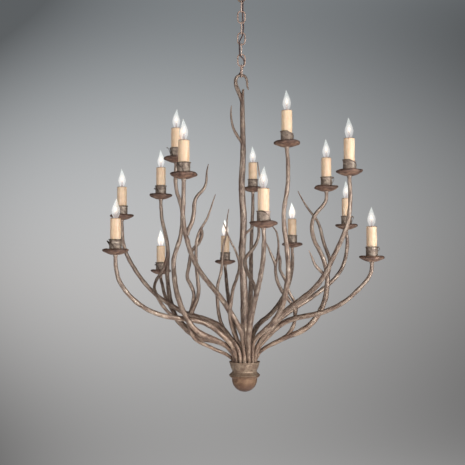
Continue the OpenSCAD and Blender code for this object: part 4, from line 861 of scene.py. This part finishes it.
# ---------------------------------------------------------------- drip dishes
DISH_PROF = [(5.2, -10.8), (10.2, -10.9), (9.4, -12.4), (9.6, -13.4), (11.4, -13.8), (16, -12.9), (22, -10.8), (28, -8.0), (33.5, -5.2), (36.4, -3.7), (37.9, -2.2), (38.4, -0.4),
             (38.3, 1.0), (37.3, 2.2), (35.2, 3.2), (32.2, 4.2), (29, 4.6), (26.5, 3.1), (22.4, -3.2), (18.9, -7.6), (18.4, -9), (5.2, -9)]
for i in CANDLES:
    rnd = random.Random(500 + i)
    ph = [rnd.uniform(0, 2 * math.pi) for _ in range(5)]
    am = [rnd.uniform(0.9, 1.7), rnd.uniform(0.6, 1.2), rnd.uniform(0.4, 0.8)]
    corners = [(rnd.uniform(0, 2 * math.pi), rnd.uniform(0.5, 1.5), rnd.uniform(0.18, 0.34)) for _ in range(rnd.choice((4, 5, 6)))]

    def dish_disp(r, z, a, ph=ph, am=am, corners=corners, i=i):
        w = min(1.0, max(0.0, (r - 20) / 18.4)) ** 1.5
        dz = w * (am[0] * math.sin(2 * a + ph[0]) + am[1] * math.sin(3 * a + ph[1]) + am[2] * math.sin(5 * a + ph[2]))
        dr = -w * (0.35 + 0.4 * math.sin(4 * a + ph[3]) + 0.25 * math.sin(7 * a + ph[4]))
        for c, h, wide in corners:
            d = math.atan2(math.sin(a - c), math.cos(a - c)) / wide
            dr += w * 0.9 * h * math.exp(-d * d)
            dz -= w * 0.9 * h * math.exp(-d * d)
        x, y = r * math.cos(a), r * math.sin(a)
        cell = noise.voronoi(Vector((x / 8.5, y / 8.5, i * 3.1)))[0][0]
        lump = nz(x / 11, y / 11, i * 5.3)
        if r > 12:
            dz += 0.55 * (0.35 - cell) * min(1, w * 3 + 0.35) + 0.4 * lump * min(1, w * 2 + 0.2)
        if r + dr > DISH_R:
            dr = DISH_R - r
        return (dr, dz, 0.6 * (0.45 - cell) + 0.5 * lump)

    B = Build()
    lathe(B, dense(DISH_PROF, 2.4), 112, seat(i), dish_disp, cav=0.45, edge=lambda r, z: max(min(1.0, max(0.0, (r - 35.6) / 2.6)) ** 1.4, 0.9 * math.exp(-((r - 32.6) / 1.4) ** 2) if z < 0 else 0.0))
    B.make(f"drip_dish_{i:02d}", [DISHM], "fixture", "dish_rust", ["drip_dishes"], seat(i))

# ---------------------------------------------------------------- candle cups of wrapped strip
# direction that the lapped end faces (0 is right, -90 is towards the viewer) and the shape of its loose tongue
LAP = {1: (-92, "none"), 2: (-98, "none"), 3: (-6, "vee"), 4: (-2, "vee"), 5: (2, "ear"), 6: (95, "nub"), 7: (-94, "none"), 8: (84, "nub"), 9: (100, "nub"),
       10: (196, "nub"), 11: (168, "spike"), 12: (184, "nub"), 13: (60, "vee"), 14: (190, "flap"), 15: (178, "nub")}
TONGUE = {
    "flap": [(-34, 18.2, 15.0), (-20, 18.6, 18.4), (-8, 20.0, 21.6), (0, 22.4, 24.2), (4, 25.0, 26.0), (4, 26.8, 27.2)],
    "ear": [(-34, 18.0, 28.4), (-16, 18.6, 29.6), (-2, 20.6, 30.4), (7, 23.2, 30.2), (11, 25.2, 27.6), (9, 25.0, 23.8), (3, 22.8, 21.0), (-4, 20.0, 19.6), (-9, 18.4, 19.2)],
    "vee": [(-30, 18.0, 27.6), (-12, 18.8, 29.2), (0, 21.2, 30.2), (8, 24.2, 29.4), (9, 24.6, 25.6), (5, 22.6, 20.4), (0, 20.0, 15.2), (-4, 18.3, 11.0)],
    "spike": [(-22, 18.0, 8.0), (-12, 18.6, 12.0), (-4, 19.8, 17.0), (0, 21.4, 22.6), (2, 23.4, 28.0), (4, 26.0, 32.0), (8, 28.6, 33.4), (12, 29.6, 31.6)],
    "nub": [(-26, 18.0, 17.6), (-12, 18.6, 20.0), (-2, 20.0, 22.2), (5, 21.8, 23.0), (9, 22.8, 21.0), (8, 22.4, 18.6)],
}
TONGUE_W = {"flap": (13.0, 7.5), "ear": (5.0, 2.2), "vee": (6.5, 3.0), "spike": (6.0, 2.2), "nub": (6.5, 2.6)}


def ribbon(B, pts, w0, w1, thick, c, seed):
    C, u = curve_through(pts, 1.3)
    T = np.gradient(C, axis=0)
    T /= np.linalg.norm(T, axis=1)[:, None]
    n = len(C)
    P = np.zeros((n, 10, 3))
    E = np.zeros((n, 10))
    for i in range(n):
        out = C[i] * np.array([1, 1, 0])
        out = out - (out @ T[i]) * T[i]
        out /= np.linalg.norm(out)
        side = np.cross(T[i], out)
        f = i / (n - 1)
        w = (w0 + (w1 - w0) * f) / 2 * (1 + 0.12 * nz(i / 3.0, seed, 1))
        t = thick / 2 * (1 if f < 0.93 else 0.7)
        for j in range(10):
            a = 2 * math.pi * (j + 0.5) / 10
            cx, cy = math.cos(a), math.sin(a)
            P[i, j] = C[i] + side * w * math.copysign(abs(cx) ** 0.45, cx) + out * t * math.copysign(abs(cy) ** 0.6, cy)
            E[i, j] = max(0.35 + 0.5 * abs(cx) ** 3, 0.92 if w0 > 10 else 0.0)
    B.grid(P + np.array(c), 0.5, E, P)


# how far round each height of the strip runs before its slanting end, and how much lower its start stands
FLAT_CUT, STEEP_CUT = (126, 122, 120, 104, 52, 20), (118, 108, 92, 70, 40, 20)
DROP = {1: 6.5, 2: 5.0, 7: 1.2}


for i in CANDLES:
    c = seat(i)
    lap, kind = LAP[i]
    cut = FLAT_CUT if i in (1, 2) else STEEP_CUT
    rnd = random.Random(700 + i)
    B = Build()
    # the strip starts upright at the lap and ends, a turn later, in a slanting cut over its own start
    th0 = math.radians(lap - 22)
    nu, zs = 132, [-8.2, -5, -1, 3, 7, 11, 15, 19, 23, 26, 28.2, 29.6, 30.6, 31.3, 31.8]
    OUT = np.zeros((nu, len(zs), 3))
    INN = np.zeros((nu, len(zs), 3))
    E, V = np.zeros((nu, len(zs))), np.full((nu, len(zs)), 0.5)
    for a in range(nu):
        for b, z in enumerate(zs):
            v = (z + 8.2) / 40.0
            full = 2 * math.pi + math.radians(float(np.interp(z, (-8.2, 2, 12, 20, 27, 32), cut)) + 3 * nz(v * 3, i, 2))
            f = a / (nu - 1)
            th = th0 + full * f
            turn = (th - th0) / (2 * math.pi)
            lump = 0.22 * nz(math.cos(th) * 1.6 + i, math.sin(th) * 1.6, z / 14)
            r = 16.35 + 1.05 * turn + lump * 0.5
            over = max(0.0, (z - 27.6) / 4.2)
            rim = 2.0 * over ** 1.6
            zz = z + (0.5 * math.sin(2 * th + i) + 0.35 * nz(math.cos(th) * 2, math.sin(th) * 2, i * 1.7)) * max(0.0, v - 0.3)
            peel = (1.7 if kind == "none" else 0.9) * max(0.0, (f - 0.95) / 0.05) ** 2
            t01 = min(1.0, max(0.0, (f - 0.27) / 0.3))
            zz -= DROP.get(i, 0.0) * v * (1 - t01 * t01 * (3 - 2 * t01))
            zz = min(zz, 31.95)
            t = 0.9 + 0.5 * over
            OUT[a, b] = ((r + t + rim + peel) * math.cos(th), (r + t + rim + peel) * math.sin(th), zz)
            INN[a, b] = ((r + rim + peel) * math.cos(th), (r + rim + peel) * math.sin(th), zz)
            E[a, b] = max(0.6 * over, min(1.0, 1.3 * max(0.0, (f - 0.968) / 0.032)), 0.55 * max(0.0, 1 - (z + 8.2) / 3.0))
            # on the cups 1, 2 and 7 a patch of the strip's front and right side has cav raised, which paints a
            # highlight on it
            V[a, b] = 0.5 + (0.5 if i == 7 else 0.25) * (kind == "none") * (0.04 < f < 0.30) * (z > 4)
    flow = np.zeros_like(OUT)
    for a in range(nu):
        for b, z in enumerate(zs):
            flow[a, b] = (17.0 * math.cos(a / nu * 2 * math.pi * 1.1), 17.0 * math.sin(a / nu * 2 * math.pi * 1.1), z + 61 * i)
    B.sheet(OUT + np.array(c), INN + np.array(c), V, E, flow)
    # floor of the cup
    lathe(B, [(5.3, -8.9), (16.6, -8.9), (17.1, -8.4), (17.1, -7.9), (16.4, -7.7), (5.3, -7.7)], 64, c)
    if kind != "none":
        pts = []
        for da, r, z in TONGUE[kind]:
            th = math.radians(lap + da)
            pts.append((r * math.cos(th), r * math.sin(th), z))
        ribbon(B, pts, *TONGUE_W[kind], 1.1, c, i)
    # nail that pins the strip, on its front
    th = math.radians(lap + 4 if kind == "none" else -96 + rnd.uniform(-14, 14))
    d = np.array([math.cos(th), math.sin(th), 0])
    side = np.array([-d[1], d[0], 0])
    P = np.zeros((4, 14, 3))
    for a, (rr, dd) in enumerate(((1.5, 17.3), (1.5, 18.4), (1.0, 18.8), (0.4, 18.9))):
        for b in range(14):
            t = 2 * math.pi * b / 14
            P[a, b] = np.array(c) + d * dd + side * rr * math.cos(t) + np.array([0, 0, 1]) * (19.5 + rr * math.sin(t))
    B.grid(P, 0.2, 1.0, P - np.array(c))
    B.make(f"candle_cup_{i:02d}", [STRIP], "fixture", "wrapped_strip", ["candle_cups"], c, 50)

# ---------------------------------------------------------------- candle sleeves
for i in CANDLES:
    c = seat(i)
    rnd = random.Random(900 + i)
    lean = rnd.uniform(0, 2 * math.pi)

    def wax(r, z, a, i=i, lean=lean):
        x, y = math.cos(a), math.sin(a)
        run = nz(x * 1.4 + i, y * 1.4, z / 46)
        fine = nz(x * 3.1, y * 3.1 + i, z / 13)
        top = max(0.0, (z - 84) / 10)
        dz = -0.45 * top * (1 + math.cos(a - lean)) * 0.5 if r > 14.8 else 0.0
        return ((0.16 * run + 0.07 * fine - 0.16) if r > 15 else 0.0, dz, 0.5 * run + 0.3 * fine + 0.25 * top)
    outline = [(14.5, -7.5), (15.75, -7.5)] + [(15.85, z) for z in range(-4, 88, 5)] + [(15.85, 90.0), (15.8, 91.8), (15.5, 93.0), (15.1, 93.6), (14.75, 93.5), (14.5, 92.6), (14.5, 80)]
    B = Build()
    # edge: the top lip is dark brown; the sleeves at the back, more than 200 mm behind the middle, get a faint painted
    # shade
    lathe(B, outline, 72, c, wax, cav=0.35, edge=lambda r, z: 1.0 if z > 92.4 else 0.25 if z > 91 else 0.07 if c[1] > 200 else 0.0)
    B.make(f"candle_sleeve_{i:02d}", [SLEEVE], "fixture", "beeswax_sleeve", ["candle_sleeves"], c)

# ---------------------------------------------------------------- bulbs
GLASS_OUT = [(5.5, -6.0), (5.75, -3.0), (6.2, -1.6), (7.0, 0.6), (8.5, 4.4), (10.5, 9), (11.85, 14), (12.5, 17.5), (12.62, 20.5), (12.35, 25), (11.3, 30), (9.6, 35), (7.8, 40), (5.9, 45), (4.1, 50), (2.6, 54.6), (1.45, 57.8), (0, 59.7)]


def bulb_meshes():
    """Glass, lit mount and screw base of one bulb, with the socket's top at z = 0."""
    def bend(B):
        for k, (x, y, z) in enumerate(B.v):
            t = max(0.0, (z - 30) / 30)
            B.v[k] = [x + 3.2 * t * t - 0.6 * t, y, z]
    G = Build()
    outer = dense(GLASS_OUT, 2.2, False)
    inner = [(max(0.0, r - 0.65), z if z < 54 else z - 1.4) for r, z in outer if z < 58]
    inner = inner + [(0.0, inner[-1][1] + 0.5)]
    lathe(G, outer + inner[::-1], 48, (0, 0, 0))
    bend(G)
    F = Build()
    stem = [(0, -5.5), (3.6, -5.5), (3.5, -1), (2.7, 4), (1.7, 9), (1.4, 13.5), (2.4, 15.4), (2.4, 16.4), (0, 16.9)]
    lathe(F, dense(stem, 1.5, False), 20, (0, 0, 0), closed=False)
    for sgn in (-1, 1):
        pts = [np.array(p, float) for p in ((sgn * 1.2, 0, 15.8), (sgn * 2.2, 0, 18.4), (sgn * 2.7, 0, 21.4), (sgn * 1.4, 0, 24.6))]
        C, _ = curve_through(pts, 1.2)
        T, N, Q = frames(C)
        P = np.stack([C[:, None] + 0.28 * (math.cos(a) * N + math.sin(a) * Q)[:, None] for a in np.linspace(0, 2 * math.pi, 8, endpoint=False)], 2)[:, 0]
        F.grid(P, 0.5, 0, P, mat=1)
    coil = [(0, 19.0), (0.7, 19.6), (1.3, 21.4), (1.8, 23.6), (1.9, 25.8), (1.7, 28.2), (1.2, 30.4), (0.6, 31.8), (0, 32.4)]
    lathe(F, dense(coil, 1.2, False), 24, (0, 0, 0), lambda r, z, a: (0.15 * math.sin(3 * a + z * 1.1), 0, 0), mat=2, closed=False)
    # the glare round the filament, as three thin closed veils
    for rr, lo, hi in ((3.4, 18.2, 34.2), (5.4, 14.8, 38.6), (7.8, 10.8, 43.0)):
        mid, veil = (lo + hi) / 2 - 1.0, []
        for a in np.linspace(-90, 90, 25):
            ca, sa = math.cos(math.radians(a)), math.sin(math.radians(a))
            veil.append((rr * ca if abs(a) < 89.9 else 0.0, mid + (hi - mid if sa > 0 else mid - lo) * sa))
        lathe(F, veil, 32, (0, 0, 0), mat=3, closed=False)
    S = Build()
    prof = [(0, -24), (1.6, -24), (2.4, -23.5), (2.7, -22.8), (4.0, -22.0), (4.9, -21.2)]
    rings = []
    for z in np.arange(-20.8, -7.2, 0.36):
        rings.append((5.55, float(z)))
    prof = prof + rings + [(5.7, -6.9), (5.85, -5), (5.85, -3.4), (5.5, -3.2), (5.2, -4), (5.2, -6.5), (0, -6.5)]

    def thread(r, z, a):
        if -20.6 < z < -7.4 and r > 5.5:
            return (0.33 * math.sin(2 * math.pi * z / 2.5 - a), 0, 0)
        return (0, 0, 0)
    lathe(S, prof, 40, (0, 0, 0), thread, closed=False)
    for k, f in enumerate(S.f):
        z = sum(S.v[x][2] for x in f) / len(f)
        S.mi[k] = 2 if z < -22.9 else 1 if z < -21.4 else 0
    return G, F, S


G, F, S = bulb_meshes()
wire = plain_metal("bulb_wire", (0.30, 0.24, 0.16), (0.62, 0.52, 0.36), (0.25, 0.4), 1.0, 600)
glass0 = G.make("bulb_glass_tmp", [GLASS], None)
mount0 = F.make("bulb_mount_tmp", [STEMGLASS, wire, GLOW, HALO], None)
base0 = S.make("bulb_base_tmp", [BRASS, BLACKG, SOLDER], None)
warm0 = G.make("bulb_glass_warm_tmp", [WARM_GLASS], None)
# which way each bulb's bent tip points
TIP = {1: 200, 2: 190, 3: 215, 4: 185, 5: 260, 6: 180, 7: 20, 8: 200, 9: 210, 10: 175, 11: 10, 12: 190, 13: 160, 14: 25, 15: 150}
for i in CANDLES:
    c = Vector(seat(i)) * MM
    body = f"bulb_{i:02d}"
    for src, part, slot in ((glass0, "glass", "bulb_glass"), (mount0, "mount", "bulb_glass"), (base0, "base", "brass")):
        # the three bulbs at the back stand lower in the light and glow warmer
        ob = bpy.data.objects.new(f"bulb_{part}_{i:02d}", warm0.data if part == "glass" and i in (6, 9, 15) else src.data)
        ob.location = (c.x, c.y, c.z + TOP_Z * MM)
        ob.rotation_euler = (0, 0, math.radians(TIP[i]))
        bpy.context.scene.collection.objects.link(ob)
        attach(ob, body)
        if part == "glass":
            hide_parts(body)
for src in (glass0, mount0, base0, warm0):
    bpy.data.objects.remove(src)

# ---------------------------------------------------------------- cup and finial bowl
def dents(seed, deep_mm):
    def f(r, z, a):
        if r < 5.5:
            return (0, 0, 0)
        x, y = math.cos(a) * 40, math.sin(a) * 40
        b = nz(x / 14 + seed, y / 14, z / 14)
        f2 = nz(x / 5, y / 5 + seed, z / 5)
        return (deep_mm * (0.7 * b + 0.3 * f2) - deep_mm * 0.3, 0.3 * deep_mm * b if r > 44 else 0, 0.4 * b)
    return f


B = Build()
cup = [(45.8, RIM_Z - 0.3), (47.6, RIM_Z - 0.1), (48.9, RIM_Z - 0.7), (49.3, RIM_Z - 2), (48.6, RIM_Z - 3.4), (47.2, RIM_Z - 4.6), (46.9, RIM_Z - 7), (45.8, RIM_Z - 12), (43, RIM_Z - 20), (39.8, RIM_Z - 26),
       (38.7, RIM_Z - 29), (39.5, RIM_Z - 32), (41.8, RIM_Z - 34.8), (45.4, RIM_Z - 38), (48.6, RIM_Z - 41.0), (49.2, RIM_Z - 42), (48.7, RIM_Z - 42.7), (46.4, RIM_Z - 42.6), (45.6, RIM_Z - 43), (38, RIM_Z - 43),
       (38, RIM_Z - 41), (40, RIM_Z - 38), (36.8, RIM_Z - 33.4), (36.2, RIM_Z - 29), (37.4, RIM_Z - 24.6), (39.4, RIM_Z - 20), (39.6, RIM_Z - 14), (42.9, RIM_Z - 14), (44.6, RIM_Z - 7), (45.3, RIM_Z - 3)]


def cup_dents(r, z, a):
    dr, dz, dc = dents(3.3, 0.5)(r, z, a)
    up = min(1.0, max(0.0, (z - (RIM_Z - 8)) / 6))
    return (dr, dz + up * (0.5 - 0.9 * math.sin(a) + 0.5 * math.sin(5 * a + 1.1) + 0.3 * math.sin(9 * a)), dc)


lathe(B, dense(cup, 2.2), 132, (CUP_X, 0, 0), cup_dents)
B.make("arm_cup_shell", [CUPM], "fixture", "cup_finish", ["arm_cup"])

B = Build()
bowl = [(36.8, BOWL_TOP - 0.35), (45.4, BOWL_TOP - 0.35), (46.2, BOWL_TOP - 0.9), (48.3, BOWL_TOP - 1.0), (48.4, BOWL_TOP - 1.8), (46.9, BOWL_TOP - 3.4), (44, BOWL_TOP - 5.8), (41.4, BOWL_TOP - 8.2), (40.3, BOWL_TOP - 10.6), (40.2, BOWL_TOP - 14), (39, BOWL_TOP - 22),
        (36.2, BOWL_TOP - 30), (31.6, BOWL_TOP - 37.4), (25, BOWL_TOP - 43.8), (16.6, BOWL_TOP - 48.8), (8, BOWL_TOP - 51.3), (0, BOWL_TOP - 51.9)]
bowl_in = [(0, BOWL_TOP - 42), (4.9, BOWL_TOP - 42), (4.9, BOWL_TOP - 33), (8.4, BOWL_TOP - 33), (8.4, BOWL_TOP - 47.4), (15.6, BOWL_TOP - 45.8), (23.4, BOWL_TOP - 41.2), (29.4, BOWL_TOP - 35.6), (33.8, BOWL_TOP - 28.8), (36.2, BOWL_TOP - 21), (37.4, BOWL_TOP - 14), (37.6, BOWL_TOP - 8), (37, BOWL_TOP - 5)]
outer = dense(bowl, 2.2, False)
lathe(B, outer + bowl_in, 132, (CUP_X, 0, 0), lambda r, z, a: dents(8.1, 0.45)(r, z, a) if r > 9 else (0, 0, 0))
B.make("finial_bowl_shell", [BOWLM], "finial", "cup_finish", ["finial_bowl"])

# ---------------------------------------------------------------- chain
WIRE = 1.8
BAR_LOW = at([241.4, 74, 0])[2] - 4.4
PITCH = 35.55 - 0.15


def wire_z(n):
    return BAR_LOW - 0.15 - WIRE + (7 - n) * PITCH


LOOP_Z = wire_z(1) + WIRE + 35.55 - 0.15 - 2.5
W = 19.9 / 2 + WIRE
for n in range(1, 8):
    zb = wire_z(n) + WIRE
    pts = []
    z0, z1 = zb + 19.9 / 2, zb + 35.55 - 19.9 / 2
    for k in range(24):
        a = math.pi * k / 24
        pts.append((W * math.cos(a), 0, z1 + W * math.sin(a)))
    for k in range(8):
        pts.append((-W, 0, z1 + (z0 - z1) * k / 8))
    for k in range(24):
        a = math.pi + math.pi * k / 24
        pts.append((W * math.cos(a), 0, z0 + W * math.sin(a)))
    for k in range(8):
        pts.append((W, 0, z0 + (z1 - z0) * k / 8))
    C = np.array(pts)
    m = len(C)
    turn = math.radians((90 if n % 2 else 0) + {6: 8, 7: 8, 4: -3, 2: 2}.get(n, 0))
    P = np.zeros((m, 16, 3))
    cav = np.zeros((m, 16))
    E = np.zeros((m, 16))
    flow = np.zeros((m, 16, 3))
    mid = np.array([0, 0, (z0 + z1) / 2])
    for k in range(m):
        T = C[(k + 1) % m] - C[k - 1]
        T /= np.linalg.norm(T)
        out = np.cross(T, (0, 1, 0))
        if out @ (C[k] - mid) < 0:
            out = -out
        seam = abs(C[k][2] - (z0 + z1) / 2)
        groove = 0.28 * math.exp(-(seam / 0.9) ** 2) if C[k][0] > 0 else 0.0
        leg = min(1.0, max(0.0, (10.5 - seam) / 4.5))
        for j in range(16):
            a = 2 * math.pi * j / 16
            b = nz(C[k][0] / 6 + n * 3, C[k][2] / 6, math.cos(a) * 1.5)
            r = WIRE - 0.03 + 0.07 * b - groove + 0.40 * leg + 0.30 * (1 - leg) * max(0.0, math.cos(a))
            P[k, j] = C[k] + r * (math.cos(a) * out + math.sin(a) * np.array([0, 1, 0]))
            # cav: lighter on the outer side of the wire, darker on its inner side as painted shade inside the loop, and
            # darker in the weld groove
            cav[k, j] = 0.5 + 0.10 * b + 0.30 * math.cos(a) - 1.2 * groove
            flow[k, j] = P[k, j] + np.array([31 * n, 0, 0])
    ct, st = math.cos(turn), math.sin(turn)
    X = P.copy()
    X[..., 0], X[..., 1] = P[..., 0] * ct - P[..., 1] * st, P[..., 0] * st + P[..., 1] * ct
    B = Build()
    B.grid(X, cav, 0.0, flow, wrap_i=True)
    B.make(f"link_{n}_wire", [CHAIN], f"link_{n}", "chain_bronze", [f"chain_link_{n}"])

# ---------------------------------------------------------------- supply cord, cut into a part at every joint it passes
cord_in, cord_end = at([242.1, 99, 10.8]), at([242.5, 104.5, 0])
pts = [(0, 0, -1), (0, 0, -14), (0, 0, -28)] + [tuple(p) for p in CORD_ROUTE] + [tuple(cord_in), tuple(cord_in + 0.8 * (cord_end - cord_in))]
C, _ = curve_through(pts, 0.9)
T, N, Q = frames(C)
s = np.concatenate([[0], np.cumsum(np.linalg.norm(np.diff(C, axis=0), axis=1))])
CORD_LENGTH = s[-1]
SIDES = 16
P = np.zeros((len(C), SIDES, 3))
cav = np.zeros((len(C), SIDES))
flow = np.zeros((len(C), SIDES, 3))
for i in range(len(C)):
    for j in range(SIDES):
        a = 2 * math.pi * j / SIDES
        w = math.cos(3 * a + s[i] * 1.15) * math.cos(3 * a - s[i] * 1.15)
        r = 2.02 + 0.11 * w
        P[i, j] = C[i] + r * (math.cos(a) * N[i] + math.sin(a) * Q[i])
        cav[i, j] = 0.5 + 0.5 * w
        flow[i, j] = (2 * math.cos(a), 2 * math.sin(a), s[i])
pivots = [LOOP_Z] + [wire_z(n) for n in range(1, 8)]
first = 0
for k in range(8):
    low = (pivots[k] + pivots[k + 1]) / 2 if k < 7 else -1e9
    last = len(C) - 1 if k == 7 else int(np.argmax(C[:, 2] < low))
    B = Build()
    B.grid(P[first:last + 1], cav[first:last + 1], 0.0, flow[first:last + 1])
    ob = B.make(f"cord_part_{k + 1}", [CORD], None, "brown_cord")
    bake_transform(ob)
    if k == 0:
        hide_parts("supply_cord")
    first = last

# ---------------------------------------------------------------- CAD nodes that stay, in their finishes
KEEP = {"ceiling_strap": ZINC, "ground_screw": GREEN, "feed_nipple": BRASS, "canopy": AGED, "canopy_loop": AGED, "canopy_ring_nut": AGED, "hub_plate": ZINC,
        "hub_rod": BRASS, "hub_locknuts": ZINC, "hub_wire_nuts": NUT, "seat_nipples": BRASS, "seat_locknuts": ZINC, "lamp_sockets": SOCKET}
for name, m in KEEP.items():
    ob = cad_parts[name]
    ob.data.materials.clear()
    ob.data.materials.append(m)

# ---------------------------------------------------------------- stage: floor with a curved sweep up to a backdrop
FLOOR_Z, WALL_Y = -2.62, 3.6


def stage_material(name, emission):
    k = Mat(name)
    loc = k.coord()
    grain = k.noise(loc, 3.0, 3, 0.5)
    if not emission:
        k.set(Base_Color=k.ramp(grain, [(0.3, (0.72, 0.72, 0.72)), (0.7, (0.76, 0.76, 0.76))]), Roughness=0.9, Emission_Color=(1.0, 1.0, 1.0), Emission_Strength=k.map(grain, 0.3, 0.7, 0.15, 0.17))
        k.b.inputs["Specular IOR Level"].default_value = 0.1
        return k.m
    x, y, z = k.split(loc)
    # brightest left of the middle, darker towards the top corners, as a backdrop lit by one spot
    u = k.map(x, -2.1, 2.05, -1.13, 1.13)
    w = k.map(z, -2.74, 1.41, -1.13, 1.13)
    uu, ww = k.math("MULTIPLY", u, u), k.math("MULTIPLY", w, w)
    glow = 0.466
    for c, t in ((-0.15, u), (-0.016, w), (-0.128, uu), (-0.419, ww), (0.130, k.math("MULTIPLY", u, ww)), (-0.043, k.math("MULTIPLY", w, ww)), (0.057, k.math("MULTIPLY", u, uu)), (0.23, k.math("MULTIPLY", ww, ww))):
        glow = k.math("ADD", k.math("MULTIPLY", t, c), glow)
    glow = k.math("MAXIMUM", glow, 0.115)
    cool = k.map(w, -0.2, 1.1, 0.0, 1.0)
    tint = k.mix(cool, (1.012, 1.0, 0.994), (0.93, 1.012, 1.07))
    glow = k.mix(1.0, tint, glow, "MULTIPLY")
    e = k.nt.nodes.new("ShaderNodeEmission")
    k.link(glow, e.inputs[0])
    e.inputs[1].default_value = 1.0
    k.link(e.outputs[0], k.out.inputs[0])
    return k.m


def stage():
    me = bpy.data.meshes.new("floor")
    xs = np.linspace(-14, 14, 29)
    prof = [(-14, FLOOR_Z), (-6, FLOOR_Z), (-2, FLOOR_Z), (1.4, FLOOR_Z), (WALL_Y - 1.0, FLOOR_Z), (WALL_Y - 0.1, FLOOR_Z)]
    v = [(x, y, z) for y, z in prof for x in xs]
    f = [(i * 29 + j, i * 29 + j + 1, (i + 1) * 29 + j + 1, (i + 1) * 29 + j) for i in range(len(prof) - 1) for j in range(28)]
    me.from_pydata(v, [], f)
    me.materials.append(stage_material("floor_paint", False))
    floor = bpy.data.objects.new("floor", me)
    bpy.context.scene.collection.objects.link(floor)
    me = bpy.data.meshes.new("backdrop")
    prof = [(WALL_Y - 0.1, FLOOR_Z), (WALL_Y - 0.03, FLOOR_Z + 0.04), (WALL_Y, FLOOR_Z + 0.12), (WALL_Y, -1.5), (WALL_Y, 0.0), (WALL_Y, 7.0)]
    xs = np.linspace(-14.0, 14.0, 29)
    v = [(x, y, z) for y, z in prof for x in xs]
    f = [(i * 29 + j, i * 29 + j + 1, (i + 1) * 29 + j + 1, (i + 1) * 29 + j) for i in range(len(prof) - 1) for j in range(28)]
    me.from_pydata(v, [], f)
    for p in me.polygons:
        p.use_smooth = True
    me.materials.append(stage_material("backdrop_paint", True))
    wall = bpy.data.objects.new("backdrop", me)
    bpy.context.scene.collection.objects.link(wall)
    # the backdrop is only looked at: it doesn't light the object from behind
    wall.visible_diffuse = False
    wall.visible_glossy = False


stage()

# ---------------------------------------------------------------- light
world = bpy.data.worlds.new("studio")
bpy.context.scene.world = world
world.use_nodes = True
nt = world.node_tree
bg = nt.nodes["Background"]
tc = nt.nodes.new("ShaderNodeTexCoord")
sp = nt.nodes.new("ShaderNodeSeparateXYZ")
nt.links.new(tc.outputs["Generated"], sp.inputs[0])
rp = nt.nodes.new("ShaderNodeValToRGB")
mr = nt.nodes.new("ShaderNodeMapRange")
mr.inputs["From Min"].default_value = -1
mr.inputs["From Max"].default_value = 1
nt.links.new(sp.outputs[2], mr.inputs["Value"])
nt.links.new(mr.outputs[0], rp.inputs[0])
rp.color_ramp.elements[0].position = 0.40
rp.color_ramp.elements[0].color = (0.36, 0.36, 0.36, 1)
rp.color_ramp.elements[1].position = 0.80
rp.color_ramp.elements[1].color = (0.13, 0.135, 0.14, 1)
nt.links.new(rp.outputs[0], bg.inputs[0])
my = nt.nodes.new("ShaderNodeMapRange")
for key, value in (("From Min", -1.0), ("From Max", 0.7), ("To Min", 1.25), ("To Max", 0.22)):
    my.inputs[key].default_value = value
nt.links.new(sp.outputs[1], my.inputs["Value"])
nt.links.new(my.outputs[0], bg.inputs[1])


def area(name, loc, target, size, power, color=(1, 1, 1), size_y=None):
    d = bpy.data.lights.new(name, "AREA")
    d.energy = power
    d.color = color
    d.size = size
    if size_y:
        d.shape = "RECTANGLE"
        d.size_y = size_y
    o = bpy.data.objects.new(name, d)
    o.location = loc
    o.rotation_mode = "QUATERNION"
    o.rotation_quaternion = (Vector(target) - Vector(loc)).to_track_quat("-Z", "Y")
    o.visible_transmission = False
    bpy.context.scene.collection.objects.link(o)
    return o


area("key", (1.75, -1.65, -0.95), (0.0, -0.05, -0.85), 0.7, 56, (0.985, 1.0, 0.975), 1.3)
area("fill", (-2.3, -2.2, -0.9), (0.0, 0.0, -0.8), 1.4, 26, (1.0, 0.985, 0.97), 1.6)
area("front", (0.35, -3.2, -1.3), (0.0, 0.0, -0.9), 1.0, 40, (1.0, 0.99, 0.97))
back = area("back_left", (-1.9, 1.7, -0.3), (0.0, 0.0, -0.8), 0.9, 12, (1.0, 0.99, 0.98), 1.4)
back.visible_glossy = False
area("under", (0.3, -0.3, -2.5), (0.0, 0.0, -1.0), 1.6, 4, (1.0, 0.98, 0.96))
rear = area("rear_soft", (1.2, 2.9, 0.5), (0.0, 0.0, -0.8), 1.8, 26, (1.0, 0.99, 0.98))
rear.visible_glossy = False

# ---------------------------------------------------------------- camera
cam = bpy.data.cameras.new("camera")
cam.sensor_width = 36.0
cam.lens = 36.0 * 764.95 / 465
cam.clip_start, cam.clip_end = 0.05, 60
cam_ob = bpy.data.objects.new("camera", cam)
cam_ob.location = (-0.02877, -2.44691, -0.91623)
cam_ob.rotation_euler = (math.radians(90 + 2.399), 0, 0)
bpy.context.scene.collection.objects.link(cam_ob)
bpy.context.scene.camera = cam_ob
bpy.context.scene.view_settings.view_transform = "Standard"
